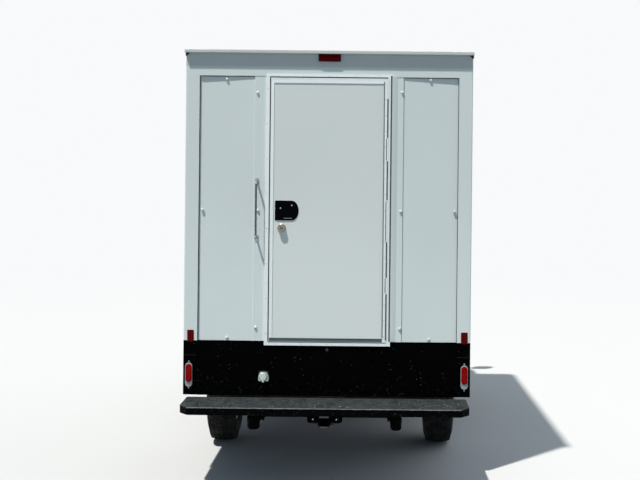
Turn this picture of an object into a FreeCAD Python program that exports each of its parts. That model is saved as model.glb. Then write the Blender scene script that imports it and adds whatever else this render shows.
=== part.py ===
"""Narrow walk-in box truck: a conventional van cab with a plain panel box on a ladder frame.

Row frame: +X is the right-hand side seen from behind, +Y points forward, +Z is up.
The origin lies on the ground, midway between the rear step's lip and the front bumper's face.
All sizes are in millimetres.
"""
import FreeCAD
import Part
import math
import os

V = FreeCAD.Vector

# Overall layout
WHEELBASE = 3505.0
FRONT_OVERHANG = 840.0
CAB_BACK_FROM_AXLE = 1460.0
CAB_BOX_GAP = 15.0
BOX_LENGTH = 3050.0
STEP_REACH = 338.0
BOX_WIDTH = 2030.0
ROOF_Z = 3000.0
CAB_INSET = 9.0

# Places along the truck are laid out from the front axle, and saving moves the middle to the origin
FRONT_AXLE_Y = 0.0
FRONT_Y = FRONT_AXLE_Y + FRONT_OVERHANG
REAR_AXLE_Y = FRONT_AXLE_Y - WHEELBASE
CAB_BACK_Y = FRONT_AXLE_Y - CAB_BACK_FROM_AXLE
BOX_FRONT_Y = CAB_BACK_Y - CAB_BOX_GAP
BOX_REAR_Y = BOX_FRONT_Y - BOX_LENGTH
REAR_Y = BOX_REAR_Y - STEP_REACH
MIDDLE_Y = (FRONT_Y + REAR_Y) / 2
CAB_HALF_WIDTH = BOX_WIDTH / 2 - CAB_INSET

# Clearances
SEAT_GAP = 0.3
PIN_CLEARANCE = 0.1
PANEL_GAP = 6.0

# Wheels
TYRE_RADIUS = 372.0
TYRE_WIDTH = 225.0
TYRE_BEAD_RADIUS = 206.0
FRONT_TRACK = 2 * CAB_HALF_WIDTH - 250.0
REAR_TRACK = BOX_WIDTH - 324.0
RIM_WIDTH = 180.0
RIM_INNER_RADIUS = 190.0
RIM_DISC_THICKNESS = 12.0
RIM_PAD_OFFSET = 20.0
RIM_DISH_OFFSET = 62.0
RIM_PAD_RADIUS = 108.0
HAND_HOLES = 8
HAND_HOLE_RADIUS = 17.0
HAND_HOLE_CIRCLE = 147.0
LUG_CIRCLE = 82.5
LUGS = 8
LUG_RADIUS = 11.0
LUG_HEIGHT = 24.0
HUB_CAP_RADIUS = 52.0
HUB_CAP_OFFSET = 78.0
BRAKE_DISC_RADIUS = 165.0
BRAKE_DISC_OUTER = -5.0
BRAKE_DISC_THICKNESS = 30.0
SPINDLE_RADIUS = 26.0
SPINDLE_END = 8.0
SIDEWALL_BULGE = 60.0
TREAD_SHOULDER = 34.0

# Steering
KINGPIN_INSET = 133.0
KINGPIN_X = FRONT_TRACK / 2 - KINGPIN_INSET
KINGPIN_RADIUS = 16.0
AXLE_EYE_RADIUS = 32.0
AXLE_EYE_HALF = 33.0
AXLE_KNEE = 140.0
KNUCKLE_EAR_RADIUS = 34.0
KNUCKLE_EAR_HALF = 75.0
KNUCKLE_SLOT_HALF = 39.0
KNUCKLE_SLOT_RADIUS = 40.0
KNUCKLE_FACE = -48.0
STEER_ARM_LENGTH = 120.0
STEER_ARM_DROP = 86.0
STEER_ARM_THICKNESS = 16.0
STEER_BOSS_RADIUS = 16.0
TIE_ROD_PIN_RADIUS = 8.0
TIE_ROD_EYE_RADIUS = 16.0
TIE_ROD_EYE_HEIGHT = 20.0
TIE_ROD_RADIUS = 9.0

# Frame
FRAME_WIDTH = 864.0
RAIL_FLANGE = 65.0
RAIL_HEIGHT = 140.0
RAIL_WALL = 7.0
FRAME_TOP_REAR = 740.0
FRAME_TOP_FRONT = 640.0
KICK_LENGTH = 300.0
KICK_FRONT_Y = CAB_BACK_Y - 131.5
KICK_REAR_Y = KICK_FRONT_Y - KICK_LENGTH
RAIL_FRONT_Y = FRONT_Y - 150.0
RAIL_REAR_Y = BOX_REAR_Y + 40.0
CROSSMEMBER_WIDTH = 80.0
CROSSMEMBER_HEIGHT = 70.0

# Springs
SPRING_WIDTH = 63.0
LEAF_THICKNESS = 11.0
REAR_LEAVES = 5
FRONT_LEAVES = 2
REAR_SPRING_HALF = 640.0
FRONT_SPRING_HALF = 500.0
FRONT_SPRING_X = FRAME_WIDTH / 2 - 32.0
SPRING_EYE_RADIUS = 22.0
SPRING_EYE_RISE = 75.0
FRONT_SPRING_RISE = 45.0
HANGER_WALL = 8.0
REAR_SPRING_X = FRAME_WIDTH / 2 + HANGER_WALL + SPRING_WIDTH / 2

# Rear axle and driveline
AXLE_TUBE_RADIUS = 45.0
FRONT_PAD_Z = TYRE_RADIUS - 2.0
REAR_PAD_Z = TYRE_RADIUS + AXLE_TUBE_RADIUS + 12.0
DIFF_RADIUS = 150.0
DIFF_WIDTH = 190.0
SHAFT_RADIUS = 38.0
ENGINE_WIDTH = 560.0
ENGINE_LENGTH = 680.0
ENGINE_HEIGHT = 560.0
ENGINE_BOTTOM = 500.0
GEARBOX_WIDTH = 300.0
GEARBOX_LENGTH = 640.0
GEARBOX_HEIGHT = 230.0
TANK_WIDTH = 400.0
TANK_LENGTH = 800.0
TANK_BOTTOM_Z = 455.0
TANK_TOP_Z = 705.0
TANK_FROM_RAIL = 30.0
TANK_FROM_AXLE = 720.0
TANK_STRAP = 44.0
MUFFLER_FROM_RAIL = 165.0
MUFFLER_FROM_AXLE = 700.0
MUFFLER_LENGTH = 560.0
MUFFLER_Z = 560.0
PIPE_RADIUS = 30.0

# Box
DECK_Z = 942.0
PAINT_LINE_Z = DECK_Z + 4.0
FRONT_WALL_RETURN = 110.0
ROOF_EDGE_PROUD = 5.0
SKIRT_BOTTOM_Z = 562.0
DECK_THICKNESS = 37.0
CROSS_SILL_HEIGHT = 75.0
CROSS_SILL_WIDTH = 45.0
CROSS_SILLS = 8
WALL_THICKNESS = 40.0
ROOF_THICKNESS = 45.0
FRONT_CORNER_RADIUS = 70.0
DRIP_OVERHANG = 26.0
DRIP_HEIGHT = 22.0
SKIRT_THICKNESS = 20.0
ARCH_RADIUS = 430.0
ARCH_LIP = 24.0
ARCH_LIP_PROUD = 7.0

# Rear frame, read from the photograph's rear face
POST_WIDTH = 98.0
REAR_FRAME_DEPTH = 60.0
HEADER_HEIGHT = 182.0
PANEL_RECESS = 7.0
PANEL_THICKNESS = 30.0
LEAF_HALF_WIDTH = 413.0
LEAF_BOTTOM_Z = DECK_Z
LEAF_TOP_Z = ROOF_Z - 192.0
LEAF_GAP = 5.0
JAMB_FACE = 27.0
JAMB_OUTER_X = LEAF_HALF_WIDTH + LEAF_GAP + JAMB_FACE
JAMB_TOP_Z = LEAF_TOP_Z + 20.0
JAMB_BOTTOM_Z = LEAF_BOTTOM_Z - 25.0
JAMB_PROUD = 8.0
PANEL_STRIP_WIDTH = 82.0
PANEL_STRIP_X = JAMB_OUTER_X + PANEL_STRIP_WIDTH
PANEL_STRIP_STEP = 5.0
REAR_DOOR_THICKNESS = 42.0
LEAF_TRIM = 23.0
LEAF_RECESS = 4.0
HINGE_RADIUS = 6.0
HINGE_KNUCKLES = 13
HINGE_PLATE = 2.0
HINGE_PIN_RADIUS = 3.0
HINGE_X = LEAF_HALF_WIDTH + LEAF_GAP / 2
HINGE_Y = BOX_REAR_Y - JAMB_PROUD - HINGE_RADIUS
APRON_THICKNESS = 20.0
APRON_RECESS = 4.0
APRON_BOTTOM_Z = 560.0
CABLE_HOLE_RADIUS = 9.0
CABLE_HOLE_Z = JAMB_BOTTOM_Z - 30.0

# Fittings on the rear
TAIL_LAMP_X = BOX_WIDTH / 2 - 43.0
TAIL_LAMP_Z = 704.0
TAIL_LAMP_LENGTH = 176.0
TAIL_LAMP_WIDTH = 58.0
TAIL_LAMP_DEPTH = 18.0
TAIL_FLANGE_DEPTH = 8.0
STOP_LAMP_WIDTH = 156.0
STOP_LAMP_HEIGHT = 60.0
STOP_LAMP_DEPTH = 24.0
STOP_LAMP_TOP_DROP = 10.0
GRAB_X = -JAMB_OUTER_X - 60.0
GRAB_TOP_Z = 2092.0
GRAB_BOTTOM_Z = 1655.0
GRAB_RADIUS = 7.0
GRAB_STANDOFF = 62.0
GRAB_FOOT = 24.0
SOCKET_X = -446.0
SOCKET_Z = 698.0
SOCKET_SIZE = 72.0
SOCKET_RADIUS = 30.0
PADDLE_LEFT_X = 35.0 - LEAF_HALF_WIDTH
PADDLE_WIDTH = 166.0
PADDLE_HEIGHT = 140.0
PADDLE_Z = 1870.0
PADDLE_DEPTH = 30.0
DEADBOLT_X = 85.0 - LEAF_HALF_WIDTH
DEADBOLT_Z = 1744.0
DEADBOLT_RADIUS = 31.0
DEADBOLT_DEPTH = 30.0

# Step bumper and hitch
STEP_WIDTH = BOX_WIDTH - 58.0
STEP_TOP_Z = 545.0
STEP_LIP_HEIGHT = 50.0
STEP_PLATE = 6.0
STEP_CORNER_Y = 75.0
STEP_CORNER_X = 62.0
DROP_BRACKET_WIDTH = 100.0
DROP_BRACKET_BOTTOM_Z = 405.0
DROP_BRACKET_WALL = 8.0
RECEIVER_Z = 455.0
RECEIVER_OUTER = 64.0
RECEIVER_BORE = 51.0
RECEIVER_LENGTH = 230.0
RECEIVER_COLLAR = 6.0
RECEIVER_COLLAR_LENGTH = 25.0
HITCH_TUBE = 60.0
HITCH_PIN_RADIUS = 8.3
HITCH_PIN_SETBACK = 65.0
CHAIN_PLATE_WIDTH = 240.0
CHAIN_PLATE_THICKNESS = 10.0
CHAIN_HOLE_RADIUS = 12.0
CHAIN_HOLE_X = 85.0
RECEIVER_MOUTH_Y = REAR_Y + 12.0
HITCH_TUBE_Y = BOX_REAR_Y - 40.0

# Cab form
CAB_BOTTOM_Z = 380.0
CAB_BOTTOM_HALF = CAB_HALF_WIDTH - 44.0
CAB_WAIST_Z = 800.0
SHOULDER_Z = 1225.0
LEDGE_HALF = CAB_HALF_WIDTH - 60.0
LEDGE_Z = 1300.0
CAB_EAVE_HALF = CAB_HALF_WIDTH - 116.0
CAB_TOP_Z = 2088.0
ROOF_CORNER_RADIUS = 120.0
COWL_Y = FRONT_AXLE_Y - 330.0
COWL_Z = 1296.0
SCREEN_TOP_Y = COWL_Y - 468.0
SCREEN_TOP_Z = 1962.0
NOSE_Y = FRONT_Y - 80.0
PLAN_AXIS_Y = NOSE_Y - 4000.0
FORM_SWEEP = 120.0
NOSE_TOP_Z = 1150.0
NOSE_TOP_SETBACK = 50.0
NOSE_RADIUS = 130.0
CORNER_START_Y = NOSE_Y - 175.0
CORNER_FRONT_X = CAB_HALF_WIDTH - 356.0
CORNER_RADIUS = 210.0

# Cab panels
SHELL_THICKNESS = 45.0
FENDER_TOP_Z = 1240.0
COWL_EDGE_Y = COWL_Y + 15.0
FENDER_THICKNESS = 15.0
HOOD_THICKNESS = 24.0
HOOD_HALF = CAB_HALF_WIDTH - 384.0
HOOD_FRONT_Z = 1046.0
HOOD_BACK_Y = COWL_EDGE_Y + 8.0
HOOD_HINGE_X = 500.0
HOOD_HINGE_Y = COWL_EDGE_Y + 4.0
HOOD_HINGE_Z = 1298.0
BARREL_RADIUS = 7.0
BARREL_EYE = 26.0
BARREL_TAB = 34.0
BARREL_SEAT = 12.0
BARREL_TAB_RISE = 3.0
BARREL_PIN_RADIUS = 3.5
BARREL_EYE_GAP = 1.0
DOOR_THICKNESS = 60.0
DOOR_SKIN = 16.0
DOOR_FRONT_Y = FRONT_AXLE_Y - 490.0
DOOR_REAR_Y = CAB_BACK_Y + 65.0
DOOR_BOTTOM_Z = 478.0
DOOR_TOP_Z = 1948.0
DOOR_BELT_Z = 1275.0
DOOR_HEAD_Y = DOOR_FRONT_Y - 551.0
DOOR_GAP = 5.0
DOOR_STEP = 25.0
WINDOW_SILL_Z = 1300.0
WINDOW_FRAME = 58.0
GLASS_INSET = 12.0
GLASS_THICKNESS = 5.0
SCREEN_BASE_HALF = CAB_HALF_WIDTH - 101.0
SCREEN_HEAD_HALF = CAB_HALF_WIDTH - 174.0
SCREEN_BASE_Z = 1322.0
SCREEN_HEAD_Z = 1930.0
CAB_FLOOR_Z = 690.0
CAB_FLOOR_THICKNESS = 30.0
FLOOR_HALF = CAB_HALF_WIDTH - 91.0
CAB_MOUNT_X = FRAME_WIDTH / 2 - 37.0
FIREWALL_Y = DOOR_FRONT_Y + 22.0
FIREWALL_THICKNESS = 25.0
FIREWALL_TOP_Z = 1200.0
DASH_DEPTH = 200.0
DASH_TOP_Z = 1222.0
DOOR_HINGE_X = CAB_HALF_WIDTH + BARREL_RADIUS
DOOR_HINGE_Y = DOOR_FRONT_Y + PANEL_GAP / 2
DOOR_HINGE_HEIGHTS = (765.0, 1125.0)
MIRROR_WIDTH = 185.0
MIRROR_HEIGHT = 300.0
MIRROR_DEPTH = 85.0
MIRROR_Z = 1432.0
MIRROR_FOOT_X = CAB_HALF_WIDTH - 71.0
MIRROR_INNER_X = CAB_HALF_WIDTH + 69.0
MIRROR_ARM_HALF = 13.0
DASH_HALF = CAB_HALF_WIDTH - 106.0
DASH_BOTTOM_Z = 950.0
DASH_HOOD_HALF = 190.0
LINER_INNER_X = KINGPIN_X - 218.0
LINER_OUTER_X = CAB_HALF_WIDTH + 14.0
LINER_BOTTOM_Z = 520.0
LINER_WALL = 5.0

# Front of the cab
GRILLE_BOTTOM_Z = 655.0
GRILLE_FRAME = 34.0
GRILLE_DEPTH = 32.0
GRILLE_BARS = 7
GRILLE_BAR_HEIGHT = 16.0
GRILLE_HOOD_GAP = 8.0
RADIATOR_Y = NOSE_Y - 190.0
RADIATOR_THICKNESS = 70.0
RADIATOR_HALF = 360.0
RADIATOR_TOP_Z = 1020.0
HEADLAMP_INNER_X = CAB_HALF_WIDTH - 358.0
HEADLAMP_OUTER_X = CAB_HALF_WIDTH - 76.0
HEADLAMP_BOTTOM_Z = 815.0
HEADLAMP_TOP_Z = 985.0
HEADLAMP_DEPTH = 70.0
BUMPER_BOTTOM_Z = 425.0
BUMPER_TOP_Z = 640.0
BUMPER_WALL = 10.0
BUMPER_RETURN = 90.0
BUMPER_BOW = 4200.0
BUMPER_SIDE_Y = FRONT_AXLE_Y + ARCH_RADIUS + 16.0
BUMPER_ARM_SETBACK = 28.0

# Interior
SEAT_X = 430.0
SEAT_WIDTH = 500.0
SEAT_FRONT_Y = CAB_BACK_Y + 620.0
SEAT_DEPTH = 500.0
SEAT_BASE_HEIGHT = 190.0
SEAT_CUSHION = 130.0
SEAT_BACK_HEIGHT = 640.0
SEAT_BACK_THICKNESS = 120.0
WHEEL_RIM_RADIUS = 190.0
WHEEL_TUBE_RADIUS = 14.0
WHEEL_TILT = 40.0
STEERING_WHEEL_Y = FIREWALL_Y - 285.5
STEERING_WHEEL_Z = CAB_FLOOR_Z + 585.0


def box(x0, x1, y0, y1, z0, z1):
    """An upright block between two corners."""
    return Part.makeBox(x1 - x0, y1 - y0, z1 - z0, V(x0, y0, z0))


def rod(start, axis, radius, length):
    """A round bar from start along axis."""
    return Part.makeCylinder(radius, length, start, axis)


def inset_points(points, insets):
    """Moves each edge of an anticlockwise polygon inwards by its own distance."""
    count = len(points)
    lines = []
    for i in range(count):
        (ax, ay), (bx, by) = points[i], points[(i + 1) % count]
        length = math.hypot(bx - ax, by - ay)
        nx, ny = -(by - ay) / length, (bx - ax) / length
        lines.append((nx, ny, nx * ax + ny * ay + insets[i]))
    moved = []
    for i in range(count):
        (a1, b1, c1), (a2, b2, c2) = lines[i - 1], lines[i]
        det = a1 * b2 - a2 * b1
        moved.append(((c1 * b2 - c2 * b1) / det, (a1 * c2 - a2 * c1) / det))
    return moved


def rounded_wire(points, radii, place):
    """A closed wire of lines with an arc at each corner that has a radius."""
    count = len(points)
    ends = []
    for i in range(count):
        px, py = points[i]
        ax, ay = points[i - 1]
        bx, by = points[(i + 1) % count]
        ua, ub = math.hypot(ax - px, ay - py), math.hypot(bx - px, by - py)
        ax, ay = (ax - px) / ua, (ay - py) / ua
        bx, by = (bx - px) / ub, (by - py) / ub
        half = math.acos(max(-1.0, min(1.0, ax * bx + ay * by))) / 2
        if radii[i] <= 0:
            ends.append(((px, py), None, (px, py)))
            continue
        reach = radii[i] / math.tan(half)
        away = radii[i] / math.sin(half)
        mx, my = ax + bx, ay + by
        norm = math.hypot(mx, my)
        middle = (px + mx / norm * (away - radii[i]), py + my / norm * (away - radii[i]))
        ends.append(((px + ax * reach, py + ay * reach), middle, (px + bx * reach, py + by * reach)))
    edges = []
    for i in range(count):
        first, middle, last = ends[i]
        if middle:
            edges.append(Part.Arc(place(*first), place(*middle), place(*last)).toShape())
        following = ends[(i + 1) % count][0]
        if math.hypot(following[0] - last[0], following[1] - last[1]) > 1e-4:
            edges.append(Part.LineSegment(place(*last), place(*following)).toShape())
    return Part.Wire(edges)


def as_radii(points, radii):
    """One radius for every corner, whether given singly or as a list."""
    return list(radii) if isinstance(radii, (list, tuple)) else [radii] * len(points)


def prism_x(points, x0, x1, radii=0.0):
    """A side outline, points (y, z), drawn across from x0 to x1."""
    wire = rounded_wire(points, as_radii(points, radii), lambda y, z: V(x0, y, z))
    return Part.Face(wire).extrude(V(x1 - x0, 0, 0))


def prism_y(points, y0, y1, radii=0.0):
    """A front outline, points (x, z), drawn along from y0 to y1."""
    wire = rounded_wire(points, as_radii(points, radii), lambda x, z: V(x, y0, z))
    return Part.Face(wire).extrude(V(0, y1 - y0, 0))


def prism_z(points, z0, z1, radii=0.0):
    """A plan outline, points (x, y), drawn up from z0 to z1."""
    wire = rounded_wire(points, as_radii(points, radii), lambda x, y: V(x, y, z0))
    return Part.Face(wire).extrude(V(0, 0, z1 - z0))


def mirrored(shape):
    """The same piece on the other side of the truck."""
    return shape.mirror(V(0, 0, 0), V(1, 0, 0))


def pair(shape):
    """A piece and its mirror image, which don't touch."""
    return Part.makeCompound([shape, mirrored(shape)])


def fused(first, *others):
    """One solid from several that meet."""
    return first.fuse(list(others)).removeSplitter()


def keep_solids(shape):
    """The closed solids of a cut, without stray faces."""
    solids = shape.Solids
    return solids[0] if len(solids) == 1 else Part.makeCompound(solids)


def save(name, shape):
    """Writes one sub-part."""
    centred = keep_solids(shape).translated(V(0, -MIDDLE_Y, 0))
    centred.exportStep(os.path.join("parts", name + ".step"))


# Wheels


def turned(points, radii, axle_y, axle_z, x_place):
    """A profile, points (across, radius), turned about a wheel's axle."""
    wire = rounded_wire(points, radii, lambda u, r: V(x_place(u), axle_y, axle_z + r))
    return Part.Face(wire).revolve(V(0, axle_y, axle_z), V(1, 0, 0), 360)


def make_tyre(centre_x, axle_y):
    """A plain road tyre with bulged walls and round shoulders."""
    half, bead = TYRE_WIDTH / 2, RIM_WIDTH / 2
    left = [
        (-bead + 13, TYRE_BEAD_RADIUS), (-bead + 10.6, TYRE_BEAD_RADIUS + 8.8),
        (-bead - 4, TYRE_BEAD_RADIUS + 10), (-half, TYRE_RADIUS - 105), (-half + 22, TYRE_RADIUS),
    ]
    points = left + [(-u, r) for u, r in reversed(left)]
    radii = [0, 0, 0, SIDEWALL_BULGE, TREAD_SHOULDER]
    return turned(points, radii + radii[::-1], axle_y, TYRE_RADIUS, lambda u: centre_x + u)


def make_rim(centre_x, axle_y, side):
    """A dished steel wheel with its hub and brake disc, which turn as one."""
    def across(u):
        return centre_x + side * u

    edge = RIM_WIDTH / 2
    seat = TYRE_BEAD_RADIUS - SEAT_GAP
    thick = RIM_DISC_THICKNESS
    barrel = [
        (-edge, RIM_INNER_RADIUS), (edge, RIM_INNER_RADIUS), (edge, seat + 8), (edge - 10, seat + 8),
        (edge - 12, seat), (-edge + 12, seat), (-edge + 10, seat + 8), (-edge, seat + 8),
    ]
    barrel_solid = turned(barrel, [0, 0, 3, 3, 0, 0, 3, 3], axle_y, TYRE_RADIUS, across)
    pad, dish = RIM_PAD_OFFSET, RIM_DISH_OFFSET
    disc = [
        (pad, 0), (pad, RIM_PAD_RADIUS), (dish, HAND_HOLE_CIRCLE), (dish - 18, RIM_INNER_RADIUS + 4),
        (dish - 18 - thick, RIM_INNER_RADIUS + 4), (dish - thick, HAND_HOLE_CIRCLE),
        (pad - thick, RIM_PAD_RADIUS), (pad - thick, 0),
    ]
    solid = turned(disc, [0, 14, 22, 0, 0, 12, 22, 0], axle_y, TYRE_RADIUS, across)
    for i in range(HAND_HOLES):
        angle = 2 * math.pi * (i + 0.5) / HAND_HOLES
        y = axle_y + HAND_HOLE_CIRCLE * math.cos(angle)
        z = TYRE_RADIUS + HAND_HOLE_CIRCLE * math.sin(angle)
        solid = solid.cut(rod(V(across(0), y, z), V(side, 0, 0), HAND_HOLE_RADIUS, dish + 20))
    hub_back = BRAKE_DISC_OUTER - BRAKE_DISC_THICKNESS
    hub = [
        (hub_back, 0), (hub_back, BRAKE_DISC_RADIUS), (BRAKE_DISC_OUTER, BRAKE_DISC_RADIUS),
        (BRAKE_DISC_OUTER, RIM_PAD_RADIUS - 8), (pad - thick, RIM_PAD_RADIUS - 8), (pad - thick, 0),
    ]
    cap = [(pad, 0), (pad, HUB_CAP_RADIUS), (HUB_CAP_OFFSET, HUB_CAP_RADIUS - 8), (HUB_CAP_OFFSET, 0)]
    solid = fused(
        barrel_solid, solid, turned(hub, [0] * 6, axle_y, TYRE_RADIUS, across),
        turned(cap, [0, 0, 10, 0], axle_y, TYRE_RADIUS, across),
    )
    for i in range(LUGS):
        angle = 2 * math.pi * i / LUGS
        y = axle_y + LUG_CIRCLE * math.cos(angle)
        z = TYRE_RADIUS + LUG_CIRCLE * math.sin(angle)
        solid = solid.fuse(rod(V(across(pad - 2), y, z), V(side, 0, 0), LUG_RADIUS, LUG_HEIGHT + 2))
    bore = rod(
        V(across(hub_back - 1), axle_y, TYRE_RADIUS), V(side, 0, 0),
        SPINDLE_RADIUS + PIN_CLEARANCE, SPINDLE_END + SEAT_GAP - hub_back + 1,
    )
    return solid.cut(bore)


# Axles and steering


def make_knuckle(side):
    """A steering knuckle: yoke, kingpin, spindle and rear-facing steering arm."""
    x, y, z = side * KINGPIN_X, FRONT_AXLE_Y, TYRE_RADIUS
    wheel_x = side * FRONT_TRACK / 2
    face_x = wheel_x + side * KNUCKLE_FACE
    low, high = sorted((x, face_x))
    ear = rod(V(x, y, z - KNUCKLE_EAR_HALF), V(0, 0, 1), KNUCKLE_EAR_RADIUS, 2 * KNUCKLE_EAR_HALF)
    web = box(low, high, y - KNUCKLE_EAR_RADIUS, y + KNUCKLE_EAR_RADIUS,
              z - KNUCKLE_EAR_HALF, z + KNUCKLE_EAR_HALF)
    yoke = fused(ear, web)
    slot = rod(V(x, y, z - KNUCKLE_SLOT_HALF), V(0, 0, 1), KNUCKLE_SLOT_RADIUS, 2 * KNUCKLE_SLOT_HALF)
    pin = rod(V(x, y, z - KNUCKLE_EAR_HALF + 5), V(0, 0, 1), KINGPIN_RADIUS, 2 * KNUCKLE_EAR_HALF - 10)
    spindle = rod(V(face_x - side * 4, y, z), V(side, 0, 0), SPINDLE_RADIUS,
                  abs(wheel_x + side * SPINDLE_END - face_x) + 4)
    arm_top = z - STEER_ARM_DROP + STEER_ARM_THICKNESS / 2
    arm_low = arm_top - STEER_ARM_THICKNESS
    arm = prism_z(
        [(x - 20, y + 20), (x - 14, y - STEER_ARM_LENGTH), (x + 14, y - STEER_ARM_LENGTH), (x + 20, y + 20)],
        arm_low, arm_top,
    )
    foot = rod(V(x, y, arm_low), V(0, 0, 1), KNUCKLE_EAR_RADIUS, z - KNUCKLE_EAR_HALF - arm_low + 1)
    boss = rod(V(x, y - STEER_ARM_LENGTH, arm_low), V(0, 0, 1), STEER_BOSS_RADIUS, STEER_ARM_THICKNESS)
    ball_pin = rod(
        V(x, y - STEER_ARM_LENGTH, arm_low - TIE_ROD_EYE_HEIGHT - 4), V(0, 0, 1),
        TIE_ROD_PIN_RADIUS, TIE_ROD_EYE_HEIGHT + 6,
    )
    return fused(yoke.cut(slot), pin, spindle, arm, foot, boss, ball_pin)


def make_tie_rod():
    """The track rod that joins both steering arms."""
    y = FRONT_AXLE_Y - STEER_ARM_LENGTH
    top = TYRE_RADIUS - STEER_ARM_DROP - STEER_ARM_THICKNESS / 2 - SEAT_GAP
    eyes = []
    holes = []
    for side in (-1, 1):
        base = V(side * KINGPIN_X, y, top - TIE_ROD_EYE_HEIGHT)
        eyes.append(rod(base, V(0, 0, 1), TIE_ROD_EYE_RADIUS, TIE_ROD_EYE_HEIGHT))
        holes.append(rod(base, V(0, 0, 1), TIE_ROD_PIN_RADIUS + PIN_CLEARANCE, TIE_ROD_EYE_HEIGHT))
    reach = KINGPIN_X - TIE_ROD_EYE_RADIUS / 2
    bar = rod(V(-reach, y, top - TIE_ROD_EYE_HEIGHT / 2), V(1, 0, 0), TIE_ROD_RADIUS, 2 * reach)
    return fused(bar, *eyes).cut(Part.makeCompound(holes))


def make_front_axle():
    """A dropped forged beam with a kingpin eye at each end."""
    y, z = FRONT_AXLE_Y, TYRE_RADIUS
    end = KINGPIN_X - AXLE_EYE_RADIUS + 8
    knee = KINGPIN_X - AXLE_KNEE
    drop_z, top_z = z - 72, z - 12
    outline = [
        (-end, z - 28), (-knee, z - 28), (80 - knee, drop_z), (knee - 80, drop_z), (knee, z - 28),
        (end, z - 28),
        (end, z + 28), (knee - 20, z + 28), (knee - 100, top_z),
        (100 - knee, top_z), (20 - knee, z + 28), (-end, z + 28),
    ]
    beam = prism_y(outline, y - 34, y + 34, [0, 60, 60, 60, 60, 0, 0, 60, 60, 60, 60, 0])
    pocket = [(120 - knee, drop_z + 14), (knee - 120, drop_z + 14),
              (knee - 140, top_z - 14), (140 - knee, top_z - 14)]
    for low, high in ((y - 35, y - 10), (y + 10, y + 35)):
        beam = beam.cut(prism_y(pocket, low, high, 12))
    eyes = []
    bores = []
    for side in (-1, 1):
        base = V(side * KINGPIN_X, y, z - AXLE_EYE_HALF)
        eyes.append(rod(base, V(0, 0, 1), AXLE_EYE_RADIUS, 2 * AXLE_EYE_HALF))
        bores.append(rod(base, V(0, 0, 1), KINGPIN_RADIUS + PIN_CLEARANCE, 2 * AXLE_EYE_HALF))
    pads = [
        box(side * FRONT_SPRING_X - 38, side * FRONT_SPRING_X + 38, y - 50, y + 50, top_z - 5, top_z + 10)
        for side in (-1, 1)
    ]
    return fused(beam, *eyes, *pads).cut(Part.makeCompound(bores))


def make_rear_axle():
    """A live rear axle: tubes, differential with its cover, spring seats and spindles."""
    y, z = REAR_AXLE_Y, TYRE_RADIUS
    tube_half = REAR_TRACK / 2 + KNUCKLE_FACE
    tube = rod(V(-tube_half, y, z), V(1, 0, 0), AXLE_TUBE_RADIUS, 2 * tube_half)
    spindle_half = REAR_TRACK / 2 + SPINDLE_END
    spindle = rod(V(-spindle_half, y, z), V(1, 0, 0), SPINDLE_RADIUS, 2 * spindle_half)
    ball = Part.makeSphere(DIFF_RADIUS, V(0, y, z))
    ball = ball.common(box(-DIFF_WIDTH / 2, DIFF_WIDTH / 2, y - DIFF_RADIUS, y + DIFF_RADIUS,
                           z - DIFF_RADIUS, z + DIFF_RADIUS))
    nose = Part.makeCone(DIFF_RADIUS * 0.6, 58, 120, V(0, y + DIFF_RADIUS * 0.65, z), V(0, 1, 0))
    cover = rod(V(0, y - DIFF_RADIUS * 0.72, z), V(0, -1, 0), DIFF_RADIUS * 0.74, 30)
    seats = [
        box(side * REAR_SPRING_X - 40, side * REAR_SPRING_X + 40, y - 60, y + 60, z + 20, REAR_PAD_Z)
        for side in (-1, 1)
    ]
    flanges = [
        rod(V(side * tube_half, y, z), V(-side, 0, 0), AXLE_TUBE_RADIUS + 22, 16) for side in (-1, 1)
    ]
    return fused(tube, spindle, ball, nose, cover, *seats, *flanges)


def leaf_pack(x, centre_y, pad_z, half, rise, leaves):
    """One bowed leaf pack with rolled eyes and a centre clamp, and the height of its eyes."""
    width = SPRING_WIDTH / 2
    radius = (half * half + rise * rise) / (2 * rise)
    centre = V(x - width, centre_y, pad_z + radius)
    stack = []
    for i in range(leaves):
        outer = radius - (leaves - 1 - i) * LEAF_THICKNESS
        reach = half * (1 - 0.72 * i / leaves)
        ring = rod(centre, V(1, 0, 0), outer, 2 * width)
        overlap = 2.0 if i else 0.0
        ring = ring.cut(rod(centre, V(1, 0, 0), outer - LEAF_THICKNESS - overlap, 2 * width))
        window = box(x - width, x + width, centre_y - reach, centre_y + reach, pad_z - 5, pad_z + 2 * rise)
        stack.append(ring.common(window))
    main = radius - (leaves - 1) * LEAF_THICKNESS - LEAF_THICKNESS
    eye_z = pad_z + radius - math.sqrt(main * main - half * half) + SPRING_EYE_RADIUS - LEAF_THICKNESS
    eyes = [
        rod(V(x - width - 1, centre_y + sign * half, eye_z), V(1, 0, 0), SPRING_EYE_RADIUS, 2 * width + 2)
        for sign in (-1, 1)
    ]
    clamp = box(x - width - 8, x + width + 8, centre_y - 45, centre_y + 45,
                pad_z, pad_z + LEAF_THICKNESS * leaves + 12)
    return fused(stack[0], *stack[1:], *eyes, clamp), eye_z


def spring_hangers(x, centre_y, half, eye_z, top_z):
    """Two-walled brackets that carry a spring's eyes beside the frame."""
    width = SPRING_WIDTH / 2
    parts = []
    for sign in (-1, 1):
        y = centre_y + sign * half
        outline = [
            (y - 12, eye_z - 32), (y + 12, eye_z - 32), (y + 34, eye_z + 8), (y + 55, top_z),
            (y - 55, top_z), (y - 34, eye_z + 8),
        ]
        for wall_x in (x - width - HANGER_WALL, x + width):
            parts.append(prism_x(outline, wall_x, wall_x + HANGER_WALL, [12, 12, 20, 0, 0, 20]))
        parts.append(box(x - width - 1, x + width + 1, y - 55, y + 55, top_z - 8, top_z))
    return parts


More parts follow.
